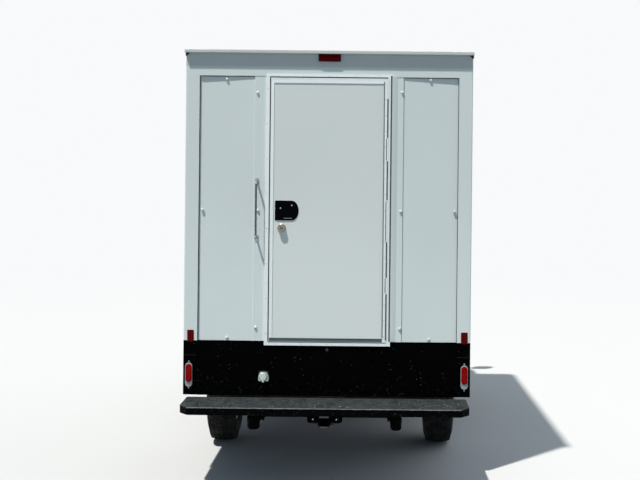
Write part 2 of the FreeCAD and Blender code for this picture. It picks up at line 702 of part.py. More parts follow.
def make_spring(side, front):
    """A leaf spring: outboard of the rail behind, under the rail in front."""
    if front:
        x = side * FRONT_SPRING_X
        pack, eye_z = leaf_pack(x, FRONT_AXLE_Y, FRONT_PAD_Z, FRONT_SPRING_HALF,
                                FRONT_SPRING_RISE, FRONT_LEAVES)
        ends = [
            box(x - 30, x + 30, FRONT_AXLE_Y + sign * FRONT_SPRING_HALF - 35,
                FRONT_AXLE_Y + sign * FRONT_SPRING_HALF + 35, eye_z, FRAME_TOP_FRONT - RAIL_HEIGHT)
            for sign in (-1, 1)
        ]
        return fused(pack, *ends)
    x = side * REAR_SPRING_X
    pack, eye_z = leaf_pack(x, REAR_AXLE_Y, REAR_PAD_Z, REAR_SPRING_HALF, SPRING_EYE_RISE, REAR_LEAVES)
    hangers = spring_hangers(x, REAR_AXLE_Y, REAR_SPRING_HALF, eye_z, FRAME_TOP_REAR - RAIL_HEIGHT + 70)
    return fused(pack, *hangers)


# Frame


def rail_outline():
    """Side outline of a rail, lower under the cab, anticlockwise in (y, z)."""
    low_r, low_f = FRAME_TOP_REAR - RAIL_HEIGHT, FRAME_TOP_FRONT - RAIL_HEIGHT
    return [
        (RAIL_REAR_Y, low_r), (KICK_REAR_Y, low_r), (KICK_FRONT_Y, low_f), (RAIL_FRONT_Y, low_f),
        (RAIL_FRONT_Y, FRAME_TOP_FRONT), (KICK_FRONT_Y, FRAME_TOP_FRONT), (KICK_REAR_Y, FRAME_TOP_REAR),
        (RAIL_REAR_Y, FRAME_TOP_REAR),
    ]


def make_rails():
    """Two pressed channel rails, open inwards."""
    outline = rail_outline()
    radii = [0, 120, 120, 0, 0, 120, 120, 0]
    outer_x, inner_x = FRAME_WIDTH / 2, FRAME_WIDTH / 2 - RAIL_FLANGE
    solid = prism_x(outline, inner_x, outer_x, radii)
    walls = [RAIL_WALL, RAIL_WALL, RAIL_WALL, -20]
    pocket = inset_points(outline, walls + walls)
    solid = solid.cut(prism_x(pocket, inner_x - 1, outer_x - RAIL_WALL, radii))
    return pair(solid)


def crossmember_places():
    """Middle y and top z of each crossmember, rear to front."""
    rear_top, front_top = FRAME_TOP_REAR - 35, FRAME_TOP_FRONT - 35
    return [
        (RAIL_REAR_Y + 120, rear_top), (REAR_AXLE_Y + 480, rear_top), (KICK_REAR_Y - 160, rear_top),
        (KICK_FRONT_Y + 300, front_top + 26), (RAIL_FRONT_Y - 90, front_top),
    ]


def make_crossmembers():
    """Pressed members between the rails' webs."""
    half = FRAME_WIDTH / 2 - RAIL_WALL
    solids = []
    for y, top in crossmember_places():
        low = top - CROSSMEMBER_HEIGHT
        outline = [
            (y - CROSSMEMBER_WIDTH / 2, low), (y + CROSSMEMBER_WIDTH / 2, low),
            (y + CROSSMEMBER_WIDTH / 2, top), (y - CROSSMEMBER_WIDTH / 2, top),
        ]
        channel = prism_x(outline, -half, half)
        pocket = inset_points(outline, [-5, 6, 6, 6])
        solids.append(channel.cut(prism_x(pocket, -half + 20, half - 20)))
    return Part.makeCompound(solids)


def make_engine():
    """Plain blocks for the engine and gearbox."""
    back = FIREWALL_Y + FIREWALL_THICKNESS + 35
    block = box(-ENGINE_WIDTH / 2, ENGINE_WIDTH / 2, back, back + ENGINE_LENGTH,
                ENGINE_BOTTOM, ENGINE_BOTTOM + ENGINE_HEIGHT)
    gear_top = FRAME_TOP_FRONT
    gearbox = box(-GEARBOX_WIDTH / 2, GEARBOX_WIDTH / 2, back - GEARBOX_LENGTH, back,
                  gear_top - GEARBOX_HEIGHT, gear_top)
    web = FRAME_WIDTH / 2 - RAIL_WALL
    mounts = box(-web, web, back + 260, back + 320, FRAME_TOP_FRONT - 90, FRAME_TOP_FRONT - 40)
    return fused(block, gearbox, mounts)


def make_driveshaft():
    """A tube with yokes from the gearbox to the differential."""
    start = V(0, FIREWALL_Y + FIREWALL_THICKNESS + 35 - GEARBOX_LENGTH - SEAT_GAP,
              FRAME_TOP_FRONT - GEARBOX_HEIGHT / 2)
    end = V(0, REAR_AXLE_Y + DIFF_RADIUS * 0.65 + 120 + SEAT_GAP, TYRE_RADIUS)
    along = end - start
    length = along.Length
    along.normalize()
    tube = rod(start + along * 60, along, SHAFT_RADIUS, length - 120)
    yokes = [rod(start, along, 30, 80), rod(end, along * -1, 30, 80)]
    front_flange = rod(start, V(0, -1, 0), 48, 18)
    rear_flange = rod(end, V(0, 1, 0), 48, 18)
    shaft = fused(tube, *yokes, front_flange, rear_flange)
    limit = box(-200, 200, end.y, start.y, 0, 1500)
    return shaft.common(limit)


def make_fuel_tank():
    """A long tank outboard of the left rail, with two straps."""
    rail = -FRAME_WIDTH / 2
    x1 = rail - TANK_FROM_RAIL
    x0 = x1 - TANK_WIDTH
    y0 = REAR_AXLE_Y + TANK_FROM_AXLE
    y1 = y0 + TANK_LENGTH
    z0, z1 = TANK_BOTTOM_Z, TANK_TOP_Z
    corner = 45
    tank = prism_y([(x0, z0), (x1, z0), (x1, z1), (x0, z1)], y0, y1, corner)
    straps = []
    for y in (y0 + TANK_LENGTH / 5, y1 - TANK_LENGTH / 5):
        low, high = y - TANK_STRAP / 2, y + TANK_STRAP / 2
        around = inset_points([(x0, z0), (x1, z0), (x1, z1), (x0, z1)], [-4] * 4)
        straps.append(prism_y(around, low, high, corner + 4))
        straps.append(box(x1, rail, low, high, z1 - 80, z1 - 30))
    return fused(tank, *straps)


def make_exhaust():
    """Silencer and pipe on the right, leaving behind the rear wheel."""
    x, z = FRAME_WIDTH / 2 + MUFFLER_FROM_RAIL, MUFFLER_Z
    y = REAR_AXLE_Y + MUFFLER_FROM_AXLE
    body = prism_y(
        [(x - 120, z - 70), (x + 120, z - 70), (x + 120, z + 70), (x - 120, z + 70)],
        y, y + MUFFLER_LENGTH, 66,
    )
    front = rod(V(x, y + MUFFLER_LENGTH - 20, z), V(0, 1, 0), PIPE_RADIUS + 2, 320)
    hanger = box(FRAME_WIDTH / 2, x, y + 260, y + 290, z + 40, z + 90)
    tail_path = [
        V(x, y + 20, z), V(x, REAR_AXLE_Y + 520, z + 5), V(x, REAR_AXLE_Y + 300, z + 150),
        V(x, REAR_AXLE_Y - 300, z + 150), V(x, REAR_AXLE_Y - 470, z + 20),
        V(x + 300, REAR_AXLE_Y - 560, z - 40),
    ]
    pipe = bent_tube(tail_path, PIPE_RADIUS, 90)
    return fused(body, front, pipe, hanger)


def bent_tube(points, radius, bend):
    """A round bar along straight runs joined by tangent arcs."""
    edges = []
    last = points[0]
    for i in range(1, len(points) - 1):
        corner = points[i]
        back = (points[i - 1] - corner)
        ahead = (points[i + 1] - corner)
        back.normalize()
        ahead.normalize()
        half = math.acos(max(-1.0, min(1.0, back.dot(ahead)))) / 2
        reach = bend / math.tan(half)
        away = bend / math.sin(half) - bend
        middle = back + ahead
        middle.normalize()
        first, final = corner + back * reach, corner + ahead * reach
        edges.append(Part.LineSegment(last, first).toShape())
        edges.append(Part.Arc(first, corner + middle * away, final).toShape())
        last = final
    edges.append(Part.LineSegment(last, points[-1]).toShape())
    spine = Part.Wire(edges)
    start = points[1] - points[0]
    start.normalize()
    circle = Part.Wire(Part.makeCircle(radius, points[0], start))
    return spine.makePipeShell([circle], True, True)


# Rear step and hitch


def make_step():
    """A wide tread platform with chamfered corners and a turned-down lip."""
    half = STEP_WIDTH / 2
    lip = REAR_Y
    back = BOX_REAR_Y + 10
    outline = [
        (-half + STEP_CORNER_X, lip), (half - STEP_CORNER_X, lip), (half, lip + STEP_CORNER_Y),
        (half, back), (-half, back), (-half, lip + STEP_CORNER_Y),
    ]
    radii = [30, 30, 30, 12, 12, 30]
    solid = prism_z(outline, STEP_TOP_Z - STEP_LIP_HEIGHT, STEP_TOP_Z, radii)
    inner = inset_points(outline, [STEP_PLATE] * 3 + [-30] + [STEP_PLATE] * 2)
    solid = solid.cut(prism_z(inner, STEP_TOP_Z - STEP_LIP_HEIGHT - 1, STEP_TOP_Z - STEP_PLATE,
                              [24, 24, 24, 0, 0, 24]))
    ribs = [
        box(x - 3, x + 3, lip + STEP_PLATE - 1, back,
            STEP_TOP_Z - STEP_LIP_HEIGHT + 4, STEP_TOP_Z - STEP_PLATE + 1)
        for x in (-760, -260, 260, 760)
    ]
    return fused(solid, *ribs)


def make_bracket():
    """The right drop bracket, from the rail down to the hitch's cross tube."""
    under = STEP_TOP_Z - STEP_PLATE
    bottom, top = DROP_BRACKET_BOTTOM_Z, FRAME_TOP_REAR - 20
    back = HITCH_TUBE_Y - 70
    x0, x1 = FRAME_WIDTH / 2, FRAME_WIDTH / 2 + DROP_BRACKET_WALL
    outline = [
        (back + 8, bottom), (BOX_REAR_Y + 60, bottom), (RAIL_REAR_Y + 190, FRAME_TOP_REAR - RAIL_HEIGHT + 20),
        (RAIL_REAR_Y + 190, top), (RAIL_REAR_Y + 6, top), (RAIL_REAR_Y + 6, under), (back + 8, under),
    ]
    side = prism_x(outline, x0, x1, [10, 40, 30, 10, 10, 30, 0])
    face = [
        (x0, bottom + 18), (x0 + 30, bottom), (x0 + DROP_BRACKET_WIDTH - 30, bottom),
        (x0 + DROP_BRACKET_WIDTH, bottom + 45), (x0 + DROP_BRACKET_WIDTH, under), (x0, under),
    ]
    return fused(side, prism_y(face, back, back + DROP_BRACKET_WALL, [8, 12, 12, 12, 0, 0]))


def make_hitch():
    """Cross tube, square receiver with a collar, and the chain plate."""
    half = HITCH_TUBE / 2
    span = FRAME_WIDTH / 2
    tube = prism_x(
        [(HITCH_TUBE_Y - half, RECEIVER_Z - half), (HITCH_TUBE_Y + half, RECEIVER_Z - half),
         (HITCH_TUBE_Y + half, RECEIVER_Z + half), (HITCH_TUBE_Y - half, RECEIVER_Z + half)],
        -span, span, 8,
    )
    outer, bore = RECEIVER_OUTER / 2, RECEIVER_BORE / 2
    mouth, end = RECEIVER_MOUTH_Y, RECEIVER_MOUTH_Y + RECEIVER_LENGTH
    square = [(-outer, RECEIVER_Z - outer), (outer, RECEIVER_Z - outer),
              (outer, RECEIVER_Z + outer), (-outer, RECEIVER_Z + outer)]
    body = prism_y(square, mouth, end + 60, 6)
    rim = [(x + math.copysign(RECEIVER_COLLAR, x), z + math.copysign(RECEIVER_COLLAR, z - RECEIVER_Z))
           for x, z in square]
    collar = prism_y(rim, mouth, mouth + RECEIVER_COLLAR_LENGTH, 10)
    plate_y = mouth + 95
    wide = CHAIN_PLATE_WIDTH / 2
    plate = prism_y(
        [(-wide, RECEIVER_Z - 26), (-46, RECEIVER_Z - 42), (46, RECEIVER_Z - 42), (wide, RECEIVER_Z - 26),
         (wide, RECEIVER_Z + 20), (-wide, RECEIVER_Z + 20)],
        plate_y, plate_y + CHAIN_PLATE_THICKNESS, [16, 30, 30, 16, 16, 16],
    )
    solid = fused(tube, body, collar, plate)
    hollow = box(-bore, bore, mouth - 1, end, RECEIVER_Z - bore, RECEIVER_Z + bore)
    pin = rod(V(-wide, mouth + HITCH_PIN_SETBACK, RECEIVER_Z), V(1, 0, 0), HITCH_PIN_RADIUS, 2 * wide)
    chains = [
        rod(V(side * CHAIN_HOLE_X, plate_y - 5, RECEIVER_Z - 4), V(0, 1, 0), CHAIN_HOLE_RADIUS, 30)
        for side in (-1, 1)
    ]
    return solid.cut(Part.makeCompound([hollow, pin, *chains]))


# Box body


def floor_reach():
    """Half width, rear and front of the box floor, inside the walls."""
    return BOX_WIDTH / 2 - WALL_THICKNESS, BOX_REAR_Y + REAR_FRAME_DEPTH, BOX_FRONT_Y - WALL_THICKNESS


def make_floor():
    """The deck of the load space."""
    half, y0, y1 = floor_reach()
    return box(-half, half, y0, y1, DECK_Z - DECK_THICKNESS, DECK_Z)


def make_sills():
    """Steel cross sills under the deck."""
    half, y0, y1 = floor_reach()
    top = DECK_Z - DECK_THICKNESS
    pitch = (y1 - y0 - CROSS_SILL_WIDTH) / (CROSS_SILLS - 1)
    places = [y0 + i * pitch for i in range(CROSS_SILLS)]
    return Part.makeCompound([
        box(-half, half, y, y + CROSS_SILL_WIDTH, top - CROSS_SILL_HEIGHT, top) for y in places
    ])


def make_runners():
    """Two long sills that carry the cross sills on the frame rails."""
    y0 = floor_reach()[1]
    inner, outer = FRAME_WIDTH / 2 - RAIL_FLANGE + 6, FRAME_WIDTH / 2 - 4
    top = DECK_Z - DECK_THICKNESS - CROSS_SILL_HEIGHT
    return pair(box(inner, outer, y0, KICK_REAR_Y - 20, FRAME_TOP_REAR, top))


def make_wall(side):
    """One side wall, as thick as its skin, posts and lining together."""
    outer = side * BOX_WIDTH / 2
    inner = side * (BOX_WIDTH / 2 - WALL_THICKNESS)
    foot = side * (BOX_WIDTH / 2 - SKIRT_THICKNESS - SEAT_GAP)
    y0, y1 = BOX_REAR_Y + REAR_FRAME_DEPTH, BOX_FRONT_Y - FRONT_WALL_RETURN
    wall = box(min(outer, inner), max(outer, inner), y0, y1, PAINT_LINE_Z, ROOF_Z - ROOF_THICKNESS)
    lower = box(min(foot, inner), max(foot, inner), y0, y1,
                DECK_Z - DECK_THICKNESS - CROSS_SILL_HEIGHT, PAINT_LINE_Z + 1)
    return fused(wall, lower)


def make_front_wall():
    """The front wall with its rounded corner posts and a square lining."""
    half = BOX_WIDTH / 2
    back = BOX_FRONT_Y - FRONT_WALL_RETURN
    outline = [(-half, back), (half, back), (half, BOX_FRONT_Y), (-half, BOX_FRONT_Y)]
    corner = FRONT_CORNER_RADIUS
    solid = prism_z(outline, PAINT_LINE_Z, ROOF_Z - ROOF_THICKNESS, [0, 0, corner, corner])
    inner = inset_points(outline, [-20, WALL_THICKNESS, WALL_THICKNESS, WALL_THICKNESS])
    solid = solid.cut(prism_z(inner, PAINT_LINE_Z - 1, ROOF_Z))
    foot_half = half - WALL_THICKNESS - SEAT_GAP
    foot = box(-foot_half, foot_half, BOX_FRONT_Y - WALL_THICKNESS, BOX_FRONT_Y,
               DECK_Z - DECK_THICKNESS - CROSS_SILL_HEIGHT, PAINT_LINE_Z + 1)
    return fused(solid, foot)


def make_roof():
    """Roof slab with rounded cove edges and the drip rail over the rear frame."""
    half = BOX_WIDTH / 2 + ROOF_EDGE_PROUD
    y0, y1 = BOX_REAR_Y - DRIP_OVERHANG, BOX_FRONT_Y + 4
    low = ROOF_Z - ROOF_THICKNESS
    outline = [(-half, y0), (half, y0), (half, y1), (-half, y1)]
    corner = FRONT_CORNER_RADIUS + 4
    slab = prism_z(outline, low, ROOF_Z, [8, 8, corner, corner])
    section = [(-half, low), (half, low), (half, ROOF_Z - 12), (half - 160, ROOF_Z),
               (-half + 160, ROOF_Z), (-half, ROOF_Z - 12)]
    slab = slab.common(prism_y(section, y0 - 1, y1 + 1, [4, 4, 12, 200, 200, 12]))
    front_edge = [(y0 - 1, low), (y1, low), (y1, ROOF_Z - 14), (y1 - 60, ROOF_Z + 1), (y0 - 1, ROOF_Z + 1)]
    slab = slab.common(prism_x(front_edge, -half - 1, half + 1, [0, 4, 12, 40, 0]))
    step = box(-half - 1, half + 1, y0 - 1, BOX_REAR_Y, low - 1, ROOF_Z - DRIP_HEIGHT)
    return slab.cut(step)


def make_skirt(side):
    """Black lower side of the box, with a wheel arch."""
    half = BOX_WIDTH / 2
    outer, inner = side * half, side * (half - SKIRT_THICKNESS)
    y0, y1 = BOX_REAR_Y + REAR_FRAME_DEPTH, BOX_FRONT_Y
    plate = prism_x(
        [(y0, SKIRT_BOTTOM_Z), (y1, SKIRT_BOTTOM_Z + 30), (y1, PAINT_LINE_Z), (y0, PAINT_LINE_Z)],
        min(outer, inner), max(outer, inner),
    )
    reach = side * (half + ARCH_LIP_PROUD)
    hole = rod(V(reach + side, REAR_AXLE_Y, TYRE_RADIUS), V(-side, 0, 0), ARCH_RADIUS, 60)
    ring = rod(V(reach, REAR_AXLE_Y, TYRE_RADIUS), V(-side, 0, 0), ARCH_RADIUS + ARCH_LIP,
               SKIRT_THICKNESS + ARCH_LIP_PROUD)
    lip = ARCH_RADIUS + ARCH_LIP + 1
    ring = ring.common(box(-half - 50, half + 50, REAR_AXLE_Y - lip, REAR_AXLE_Y + lip,
                           SKIRT_BOTTOM_Z + 12, PAINT_LINE_Z - 2))
    return plate.fuse(ring).removeSplitter().cut(hole)


# Rear of the box


def make_rear_frame():
    """White rear corner posts joined by the header."""
    half = BOX_WIDTH / 2
    inner = half - POST_WIDTH
    y1 = BOX_REAR_Y + REAR_FRAME_DEPTH
    top = ROOF_Z - ROOF_THICKNESS
    header_low = ROOF_Z - HEADER_HEIGHT
    post = [(inner, BOX_REAR_Y), (half, BOX_REAR_Y), (half, y1), (inner, y1)]
    right = prism_z(post, PAINT_LINE_Z, top, [0, 9, 0, 0])
    header = box(-inner - 1, inner + 1, BOX_REAR_Y, y1, header_low, top)
    return fused(right, mirrored(right), header)


def make_rear_panel(side):
    """Bolted panel beside the door frame, with its stepped inner strip."""
    y0 = BOX_REAR_Y + PANEL_RECESS
    y1 = y0 + PANEL_THICKNESS
    outer = BOX_WIDTH / 2 - POST_WIDTH
    low, high = PAINT_LINE_Z, ROOF_Z - HEADER_HEIGHT
    outline = [
        (JAMB_OUTER_X, y0 - PANEL_STRIP_STEP), (PANEL_STRIP_X, y0 - PANEL_STRIP_STEP),
        (PANEL_STRIP_X + 5, y0), (outer, y0), (outer, y1), (JAMB_OUTER_X, y1),
    ]
    solid = prism_z(outline, low, high)
    return solid if side > 0 else mirrored(solid)


def make_apron():
    """Black plate under the door between the corner pieces."""
    y0 = BOX_REAR_Y + APRON_RECESS
    inner = BOX_WIDTH / 2 - POST_WIDTH
    plate = box(-inner, inner, y0, y0 + APRON_THICKNESS, APRON_BOTTOM_Z, JAMB_BOTTOM_Z)
    ledge_l = box(-inner, -JAMB_OUTER_X, y0, y0 + APRON_THICKNESS, JAMB_BOTTOM_Z - 1, PAINT_LINE_Z)
    ledge_r = box(JAMB_OUTER_X, inner, y0, y0 + APRON_THICKNESS, JAMB_BOTTOM_Z - 1, PAINT_LINE_Z)
    hole = rod(V(0, y0 - 1, CABLE_HOLE_Z), V(0, 1, 0), CABLE_HOLE_RADIUS, APRON_THICKNESS + 2)
    return fused(plate, ledge_l, ledge_r).cut(hole)


def make_corner(side):
    """Black lower corner piece that carries a tail lamp."""
    half = BOX_WIDTH / 2
    post = [(half - POST_WIDTH, BOX_REAR_Y), (half, BOX_REAR_Y),
            (half, BOX_REAR_Y + REAR_FRAME_DEPTH), (half - POST_WIDTH, BOX_REAR_Y + REAR_FRAME_DEPTH)]
    solid = prism_z(post, SKIRT_BOTTOM_Z, PAINT_LINE_Z, [0, 9, 0, 0])
    return solid if side > 0 else mirrored(solid)


def make_jamb():
    """Aluminium door frame standing a little proud of the panels, with the hinge's pin."""
    outer, inner = JAMB_OUTER_X, LEAF_HALF_WIDTH + LEAF_GAP
    y0, y1 = BOX_REAR_Y - JAMB_PROUD, BOX_REAR_Y + REAR_FRAME_DEPTH
    low, high = JAMB_BOTTOM_Z, ROOF_Z - HEADER_HEIGHT
    frame = box(-outer, outer, y0, y1, low, high)
    frame = frame.fuse(box(-outer, outer, y0, BOX_REAR_Y, high, JAMB_TOP_Z))
    opening = box(-inner, inner, y0 - 1, y1 + 1, LEAF_BOTTOM_Z - LEAF_GAP, LEAF_TOP_Z + LEAF_GAP)
    plate = box(HINGE_X + HINGE_RADIUS, outer - 2, y0 - HINGE_PLATE, y0, LEAF_BOTTOM_Z, LEAF_TOP_Z)
    solid = fused(frame.cut(opening), plate)
    lengths = hinge_segments()
    knuckles = [
        rod(V(HINGE_X, HINGE_Y, low_z), V(0, 0, 1), HINGE_RADIUS, high_z - low_z)
        for i, (low_z, high_z) in enumerate(lengths) if i % 2 == 0
    ]
    tabs = [
        box(HINGE_X, HINGE_X + HINGE_RADIUS + 1, HINGE_Y + HINGE_RADIUS - HINGE_PLATE,
            HINGE_Y + HINGE_RADIUS, low_z, high_z)
        for i, (low_z, high_z) in enumerate(lengths) if i % 2 == 0
    ]
    pin = rod(V(HINGE_X, HINGE_Y, LEAF_BOTTOM_Z), V(0, 0, 1), HINGE_PIN_RADIUS, LEAF_TOP_Z - LEAF_BOTTOM_Z)
    return fused(solid, *knuckles, *tabs, pin)


def hinge_segments():
    """Low and high z of each knuckle of the long hinge, with small gaps between them."""
    pitch = (LEAF_TOP_Z - LEAF_BOTTOM_Z) / HINGE_KNUCKLES
    return [
        (LEAF_BOTTOM_Z + i * pitch + 0.5, LEAF_BOTTOM_Z + (i + 1) * pitch - 0.5)
        for i in range(HINGE_KNUCKLES)
    ]


def make_leaf():
    """Rear door leaf with its raised edge trim."""
    y0 = BOX_REAR_Y - LEAF_RECESS
    half = LEAF_HALF_WIDTH
    solid = box(-half, half, y0, y0 + REAR_DOOR_THICKNESS, LEAF_BOTTOM_Z, LEAF_TOP_Z)
    outline = [(-half, LEAF_BOTTOM_Z), (half, LEAF_BOTTOM_Z), (half, LEAF_TOP_Z), (-half, LEAF_TOP_Z)]
    panel = inset_points(outline, [LEAF_TRIM - 2, LEAF_TRIM, LEAF_TRIM + 14, LEAF_TRIM])
    return solid.cut(prism_y(panel, y0 - 1, BOX_REAR_Y))


def make_leaf_hinge():
    """The leaf's half of the long hinge."""
    lengths = hinge_segments()
    y_face = BOX_REAR_Y - LEAF_RECESS
    plate_y = y_face - HINGE_PLATE
    solid = box(LEAF_HALF_WIDTH - LEAF_TRIM + 1, HINGE_X - 4, plate_y, y_face,
                LEAF_BOTTOM_Z + 1, LEAF_TOP_Z - 1)
    for i, (low_z, high_z) in enumerate(lengths):
        if i % 2:
            knuckle = rod(V(HINGE_X, HINGE_Y, low_z), V(0, 0, 1), HINGE_RADIUS, high_z - low_z)
            web = prism_z(
                [(HINGE_X - 5.5, HINGE_Y), (HINGE_X - 1, HINGE_Y),
                 (HINGE_X - 4, y_face), (HINGE_X - 9, y_face)], low_z, high_z,
            )
            solid = solid.fuse([knuckle, web])
    bore = rod(V(HINGE_X, HINGE_Y, LEAF_BOTTOM_Z), V(0, 0, 1), HINGE_PIN_RADIUS + PIN_CLEARANCE,
               LEAF_TOP_Z - LEAF_BOTTOM_Z)
    return solid.removeSplitter().cut(bore)


def make_latch():
    """Paddle latch and deadbolt on the leaf."""
    face = BOX_REAR_Y
    x0, x1 = PADDLE_LEFT_X, PADDLE_LEFT_X + PADDLE_WIDTH
    low, high = PADDLE_Z - PADDLE_HEIGHT / 2, PADDLE_Z + PADDLE_HEIGHT / 2
    round_end = PADDLE_HEIGHT / 2 - 4
    plate = [(x0, low), (x1, low), (x1, high), (x0, high)]
    dish = prism_y(plate, face - 8, face, [10, round_end, round_end, 10])
    paddle = prism_y([(x0 + 16, low + 14), (x1 - 14, low + 14), (x1 - 14, high - 26), (x0 + 16, high - 26)],
                     face - PADDLE_DEPTH, face - 7, [8, 46, 46, 8])
    latch = fused(dish, paddle)
    rose = Part.makeCone(DEADBOLT_RADIUS, DEADBOLT_RADIUS - 8, DEADBOLT_DEPTH - 8,
                         V(DEADBOLT_X, face, DEADBOLT_Z), V(0, -1, 0))
    plug = rod(V(DEADBOLT_X, face, DEADBOLT_Z), V(0, -1, 0), 14, DEADBOLT_DEPTH)
    return Part.makeCompound([latch, fused(rose, plug)])


def stadium(x, z, width, length, y0, y1):
    """An upright slab with round ends, centred on x, z."""
    radius = width / 2 - 0.01
    return prism_y(
        [(x - width / 2, z - length / 2), (x + width / 2, z - length / 2),
         (x + width / 2, z + length / 2), (x - width / 2, z + length / 2)], y0, y1, radius,
    )


def make_tail_lamp(side):
    """Upright oval lamp in a black flange."""
    x = side * TAIL_LAMP_X
    flange = stadium(x, TAIL_LAMP_Z, TAIL_LAMP_WIDTH + 16, TAIL_LAMP_LENGTH + 34,
                     BOX_REAR_Y - TAIL_FLANGE_DEPTH, BOX_REAR_Y)
    lens = stadium(x, TAIL_LAMP_Z, TAIL_LAMP_WIDTH, TAIL_LAMP_LENGTH,
                   BOX_REAR_Y - TAIL_LAMP_DEPTH, BOX_REAR_Y - 1)
    return fused(flange, lens)


def make_stop_lamp():
    """High stop lamp on the header."""
    half = STOP_LAMP_WIDTH / 2
    low, high = ROOF_Z - STOP_LAMP_TOP_DROP - STOP_LAMP_HEIGHT, ROOF_Z - DRIP_HEIGHT - 1
    return box(-half, half, BOX_REAR_Y - STOP_LAMP_DEPTH, BOX_REAR_Y, low, high)


def make_grab_handle():
    """Bent steel bar on two screwed feet."""
    foot_y = BOX_REAR_Y + PANEL_RECESS - PANEL_STRIP_STEP
    out = foot_y - GRAB_STANDOFF
    path = [
        V(GRAB_X, foot_y - 3, GRAB_TOP_Z - 18), V(GRAB_X, out, GRAB_TOP_Z - 18),
        V(GRAB_X, out, GRAB_BOTTOM_Z + 18), V(GRAB_X, foot_y - 3, GRAB_BOTTOM_Z + 18),
    ]
    bar = bent_tube(path, GRAB_RADIUS, 30)
    feet = [
        prism_y([(GRAB_X - 14, z - GRAB_FOOT), (GRAB_X + 14, z - GRAB_FOOT),
                 (GRAB_X + 14, z + GRAB_FOOT), (GRAB_X - 14, z + GRAB_FOOT)], foot_y - 4, foot_y, 13.5)
        for z in (GRAB_TOP_Z - 18, GRAB_BOTTOM_Z + 18)
    ]
    return fused(bar, *feet)


def make_trailer_socket():
    """Round trailer plug socket with a hinged cap on a square flange."""
    face = BOX_REAR_Y + APRON_RECESS
    half = SOCKET_SIZE / 2
    x, z = SOCKET_X, SOCKET_Z
    flange = prism_y([(x - half, z - half), (x + half, z - half), (x + half, z + half), (x - half, z + half)],
                     face - 5, face, 8)
    barrel = rod(V(x, face - 4, z), V(0, -1, 0), SOCKET_RADIUS - 3, 26)
    cap = Part.makeCone(SOCKET_RADIUS + 1, SOCKET_RADIUS - 5, 12, V(x, face - 28, z), V(0, -1, 0))
    lobe = prism_y([(x - 12, z + 20), (x + 12, z + 20), (x + 12, z + 42), (x - 12, z + 42)],
                   face - 34, face - 4, [0, 0, 10, 10])
    tab = box(x - 6, x + 6, face - 40, face - 30, z - SOCKET_RADIUS - 8, z - SOCKET_RADIUS + 6)
    return fused(flange, barrel, cap, lobe, tab)


# Cab


def cab_profile():
    """Side outline of the cab in (y, z), anticlockwise, with radii and which edges move when inset."""
    points = [
        (PLAN_AXIS_Y, CAB_BOTTOM_Z), (NOSE_Y - 10, CAB_BOTTOM_Z), (NOSE_Y, CAB_BOTTOM_Z + 260),
        (NOSE_Y - NOSE_TOP_SETBACK, NOSE_TOP_Z), (COWL_Y, COWL_Z), (SCREEN_TOP_Y, SCREEN_TOP_Z),
        (SCREEN_TOP_Y - 230, CAB_TOP_Z - 10), (PLAN_AXIS_Y, CAB_TOP_Z),
    ]
    return points, [0, 0, 400, NOSE_RADIUS, 60, 260, 500, 0], [0, 1, 1, 1, 1, 1, 1, 0]


def cab_section():
    """Front outline of the cab behind the cowl in (x, z), anticlockwise."""
    half = [
        (CAB_BOTTOM_HALF, CAB_BOTTOM_Z), (CAB_HALF_WIDTH, CAB_WAIST_Z), (CAB_HALF_WIDTH, SHOULDER_Z),
        (LEDGE_HALF, LEDGE_Z), (CAB_EAVE_HALF, CAB_TOP_Z + 5),
    ]
    points = half + [(-x, z) for x, z in reversed(half)]
    radii = [0, 900, 70, 50, ROOF_CORNER_RADIUS]
    return points, radii + list(reversed(radii)), [1, 1, 1, 1, 1, 1, 1, 1, 1, 0]


def front_section():
    """Front outline of the fenders at the cowl, which follows the hood's slope forward."""
    rise = 2 * (LEDGE_Z - SHOULDER_Z)
    narrow = 2 * (CAB_HALF_WIDTH - LEDGE_HALF)
    half = [(CAB_HALF_WIDTH, -900), (CAB_HALF_WIDTH, SHOULDER_Z),
            (CAB_HALF_WIDTH - narrow, SHOULDER_Z + rise)]
    points = half + [(-x, z) for x, z in reversed(half)]
    return points, [0, 70, 0, 0, 70, 0], [1, 1, 0, 1, 1, 0]


def lower_section():
    """Front outline of the cab's sides ahead of the cowl, without the shoulder."""
    half = [(CAB_BOTTOM_HALF, CAB_BOTTOM_Z), (CAB_HALF_WIDTH, CAB_WAIST_Z), (CAB_HALF_WIDTH, COWL_Z + 200)]
    points = half + [(-x, z) for x, z in reversed(half)]
    return points, [0, 900, 0, 0, 900, 0], [1, 1, 0, 1, 1, 0]


def cab_plan():
    """Plan outline of the cab in (x, y), anticlockwise, a little wider than the straight sides."""
    wide = CAB_HALF_WIDTH + 3
    half = [
        (wide, CAB_BACK_Y), (wide, FRONT_AXLE_Y + 60),
        (CAB_HALF_WIDTH - 18, CORNER_START_Y), (CORNER_FRONT_X, NOSE_Y + 30),
    ]
    points = half + [(-x, y) for x, y in reversed(half)]
    return points, [60, 900, CORNER_RADIUS, 400, 400, CORNER_RADIUS, 900, 60], [1, 1, 1, 1, 1, 1, 1, 1]


def inset(outline, thickness):
    """An outline moved inwards, its outer corners tighter and its inner ones wider."""
    points, radii, moves = outline
    moved = inset_points(points, [thickness * move for move in moves])
    changed = []
    for i, radius in enumerate(radii):
        (ax, ay), (px, py), (bx, by) = points[i - 1], points[i], points[(i + 1) % len(points)]
        turn = (px - ax) * (by - py) - (py - ay) * (bx - px)
        changed.append(max(0.0, radius - thickness if turn > 0 else radius + thickness) if radius else 0)
    return moved, changed


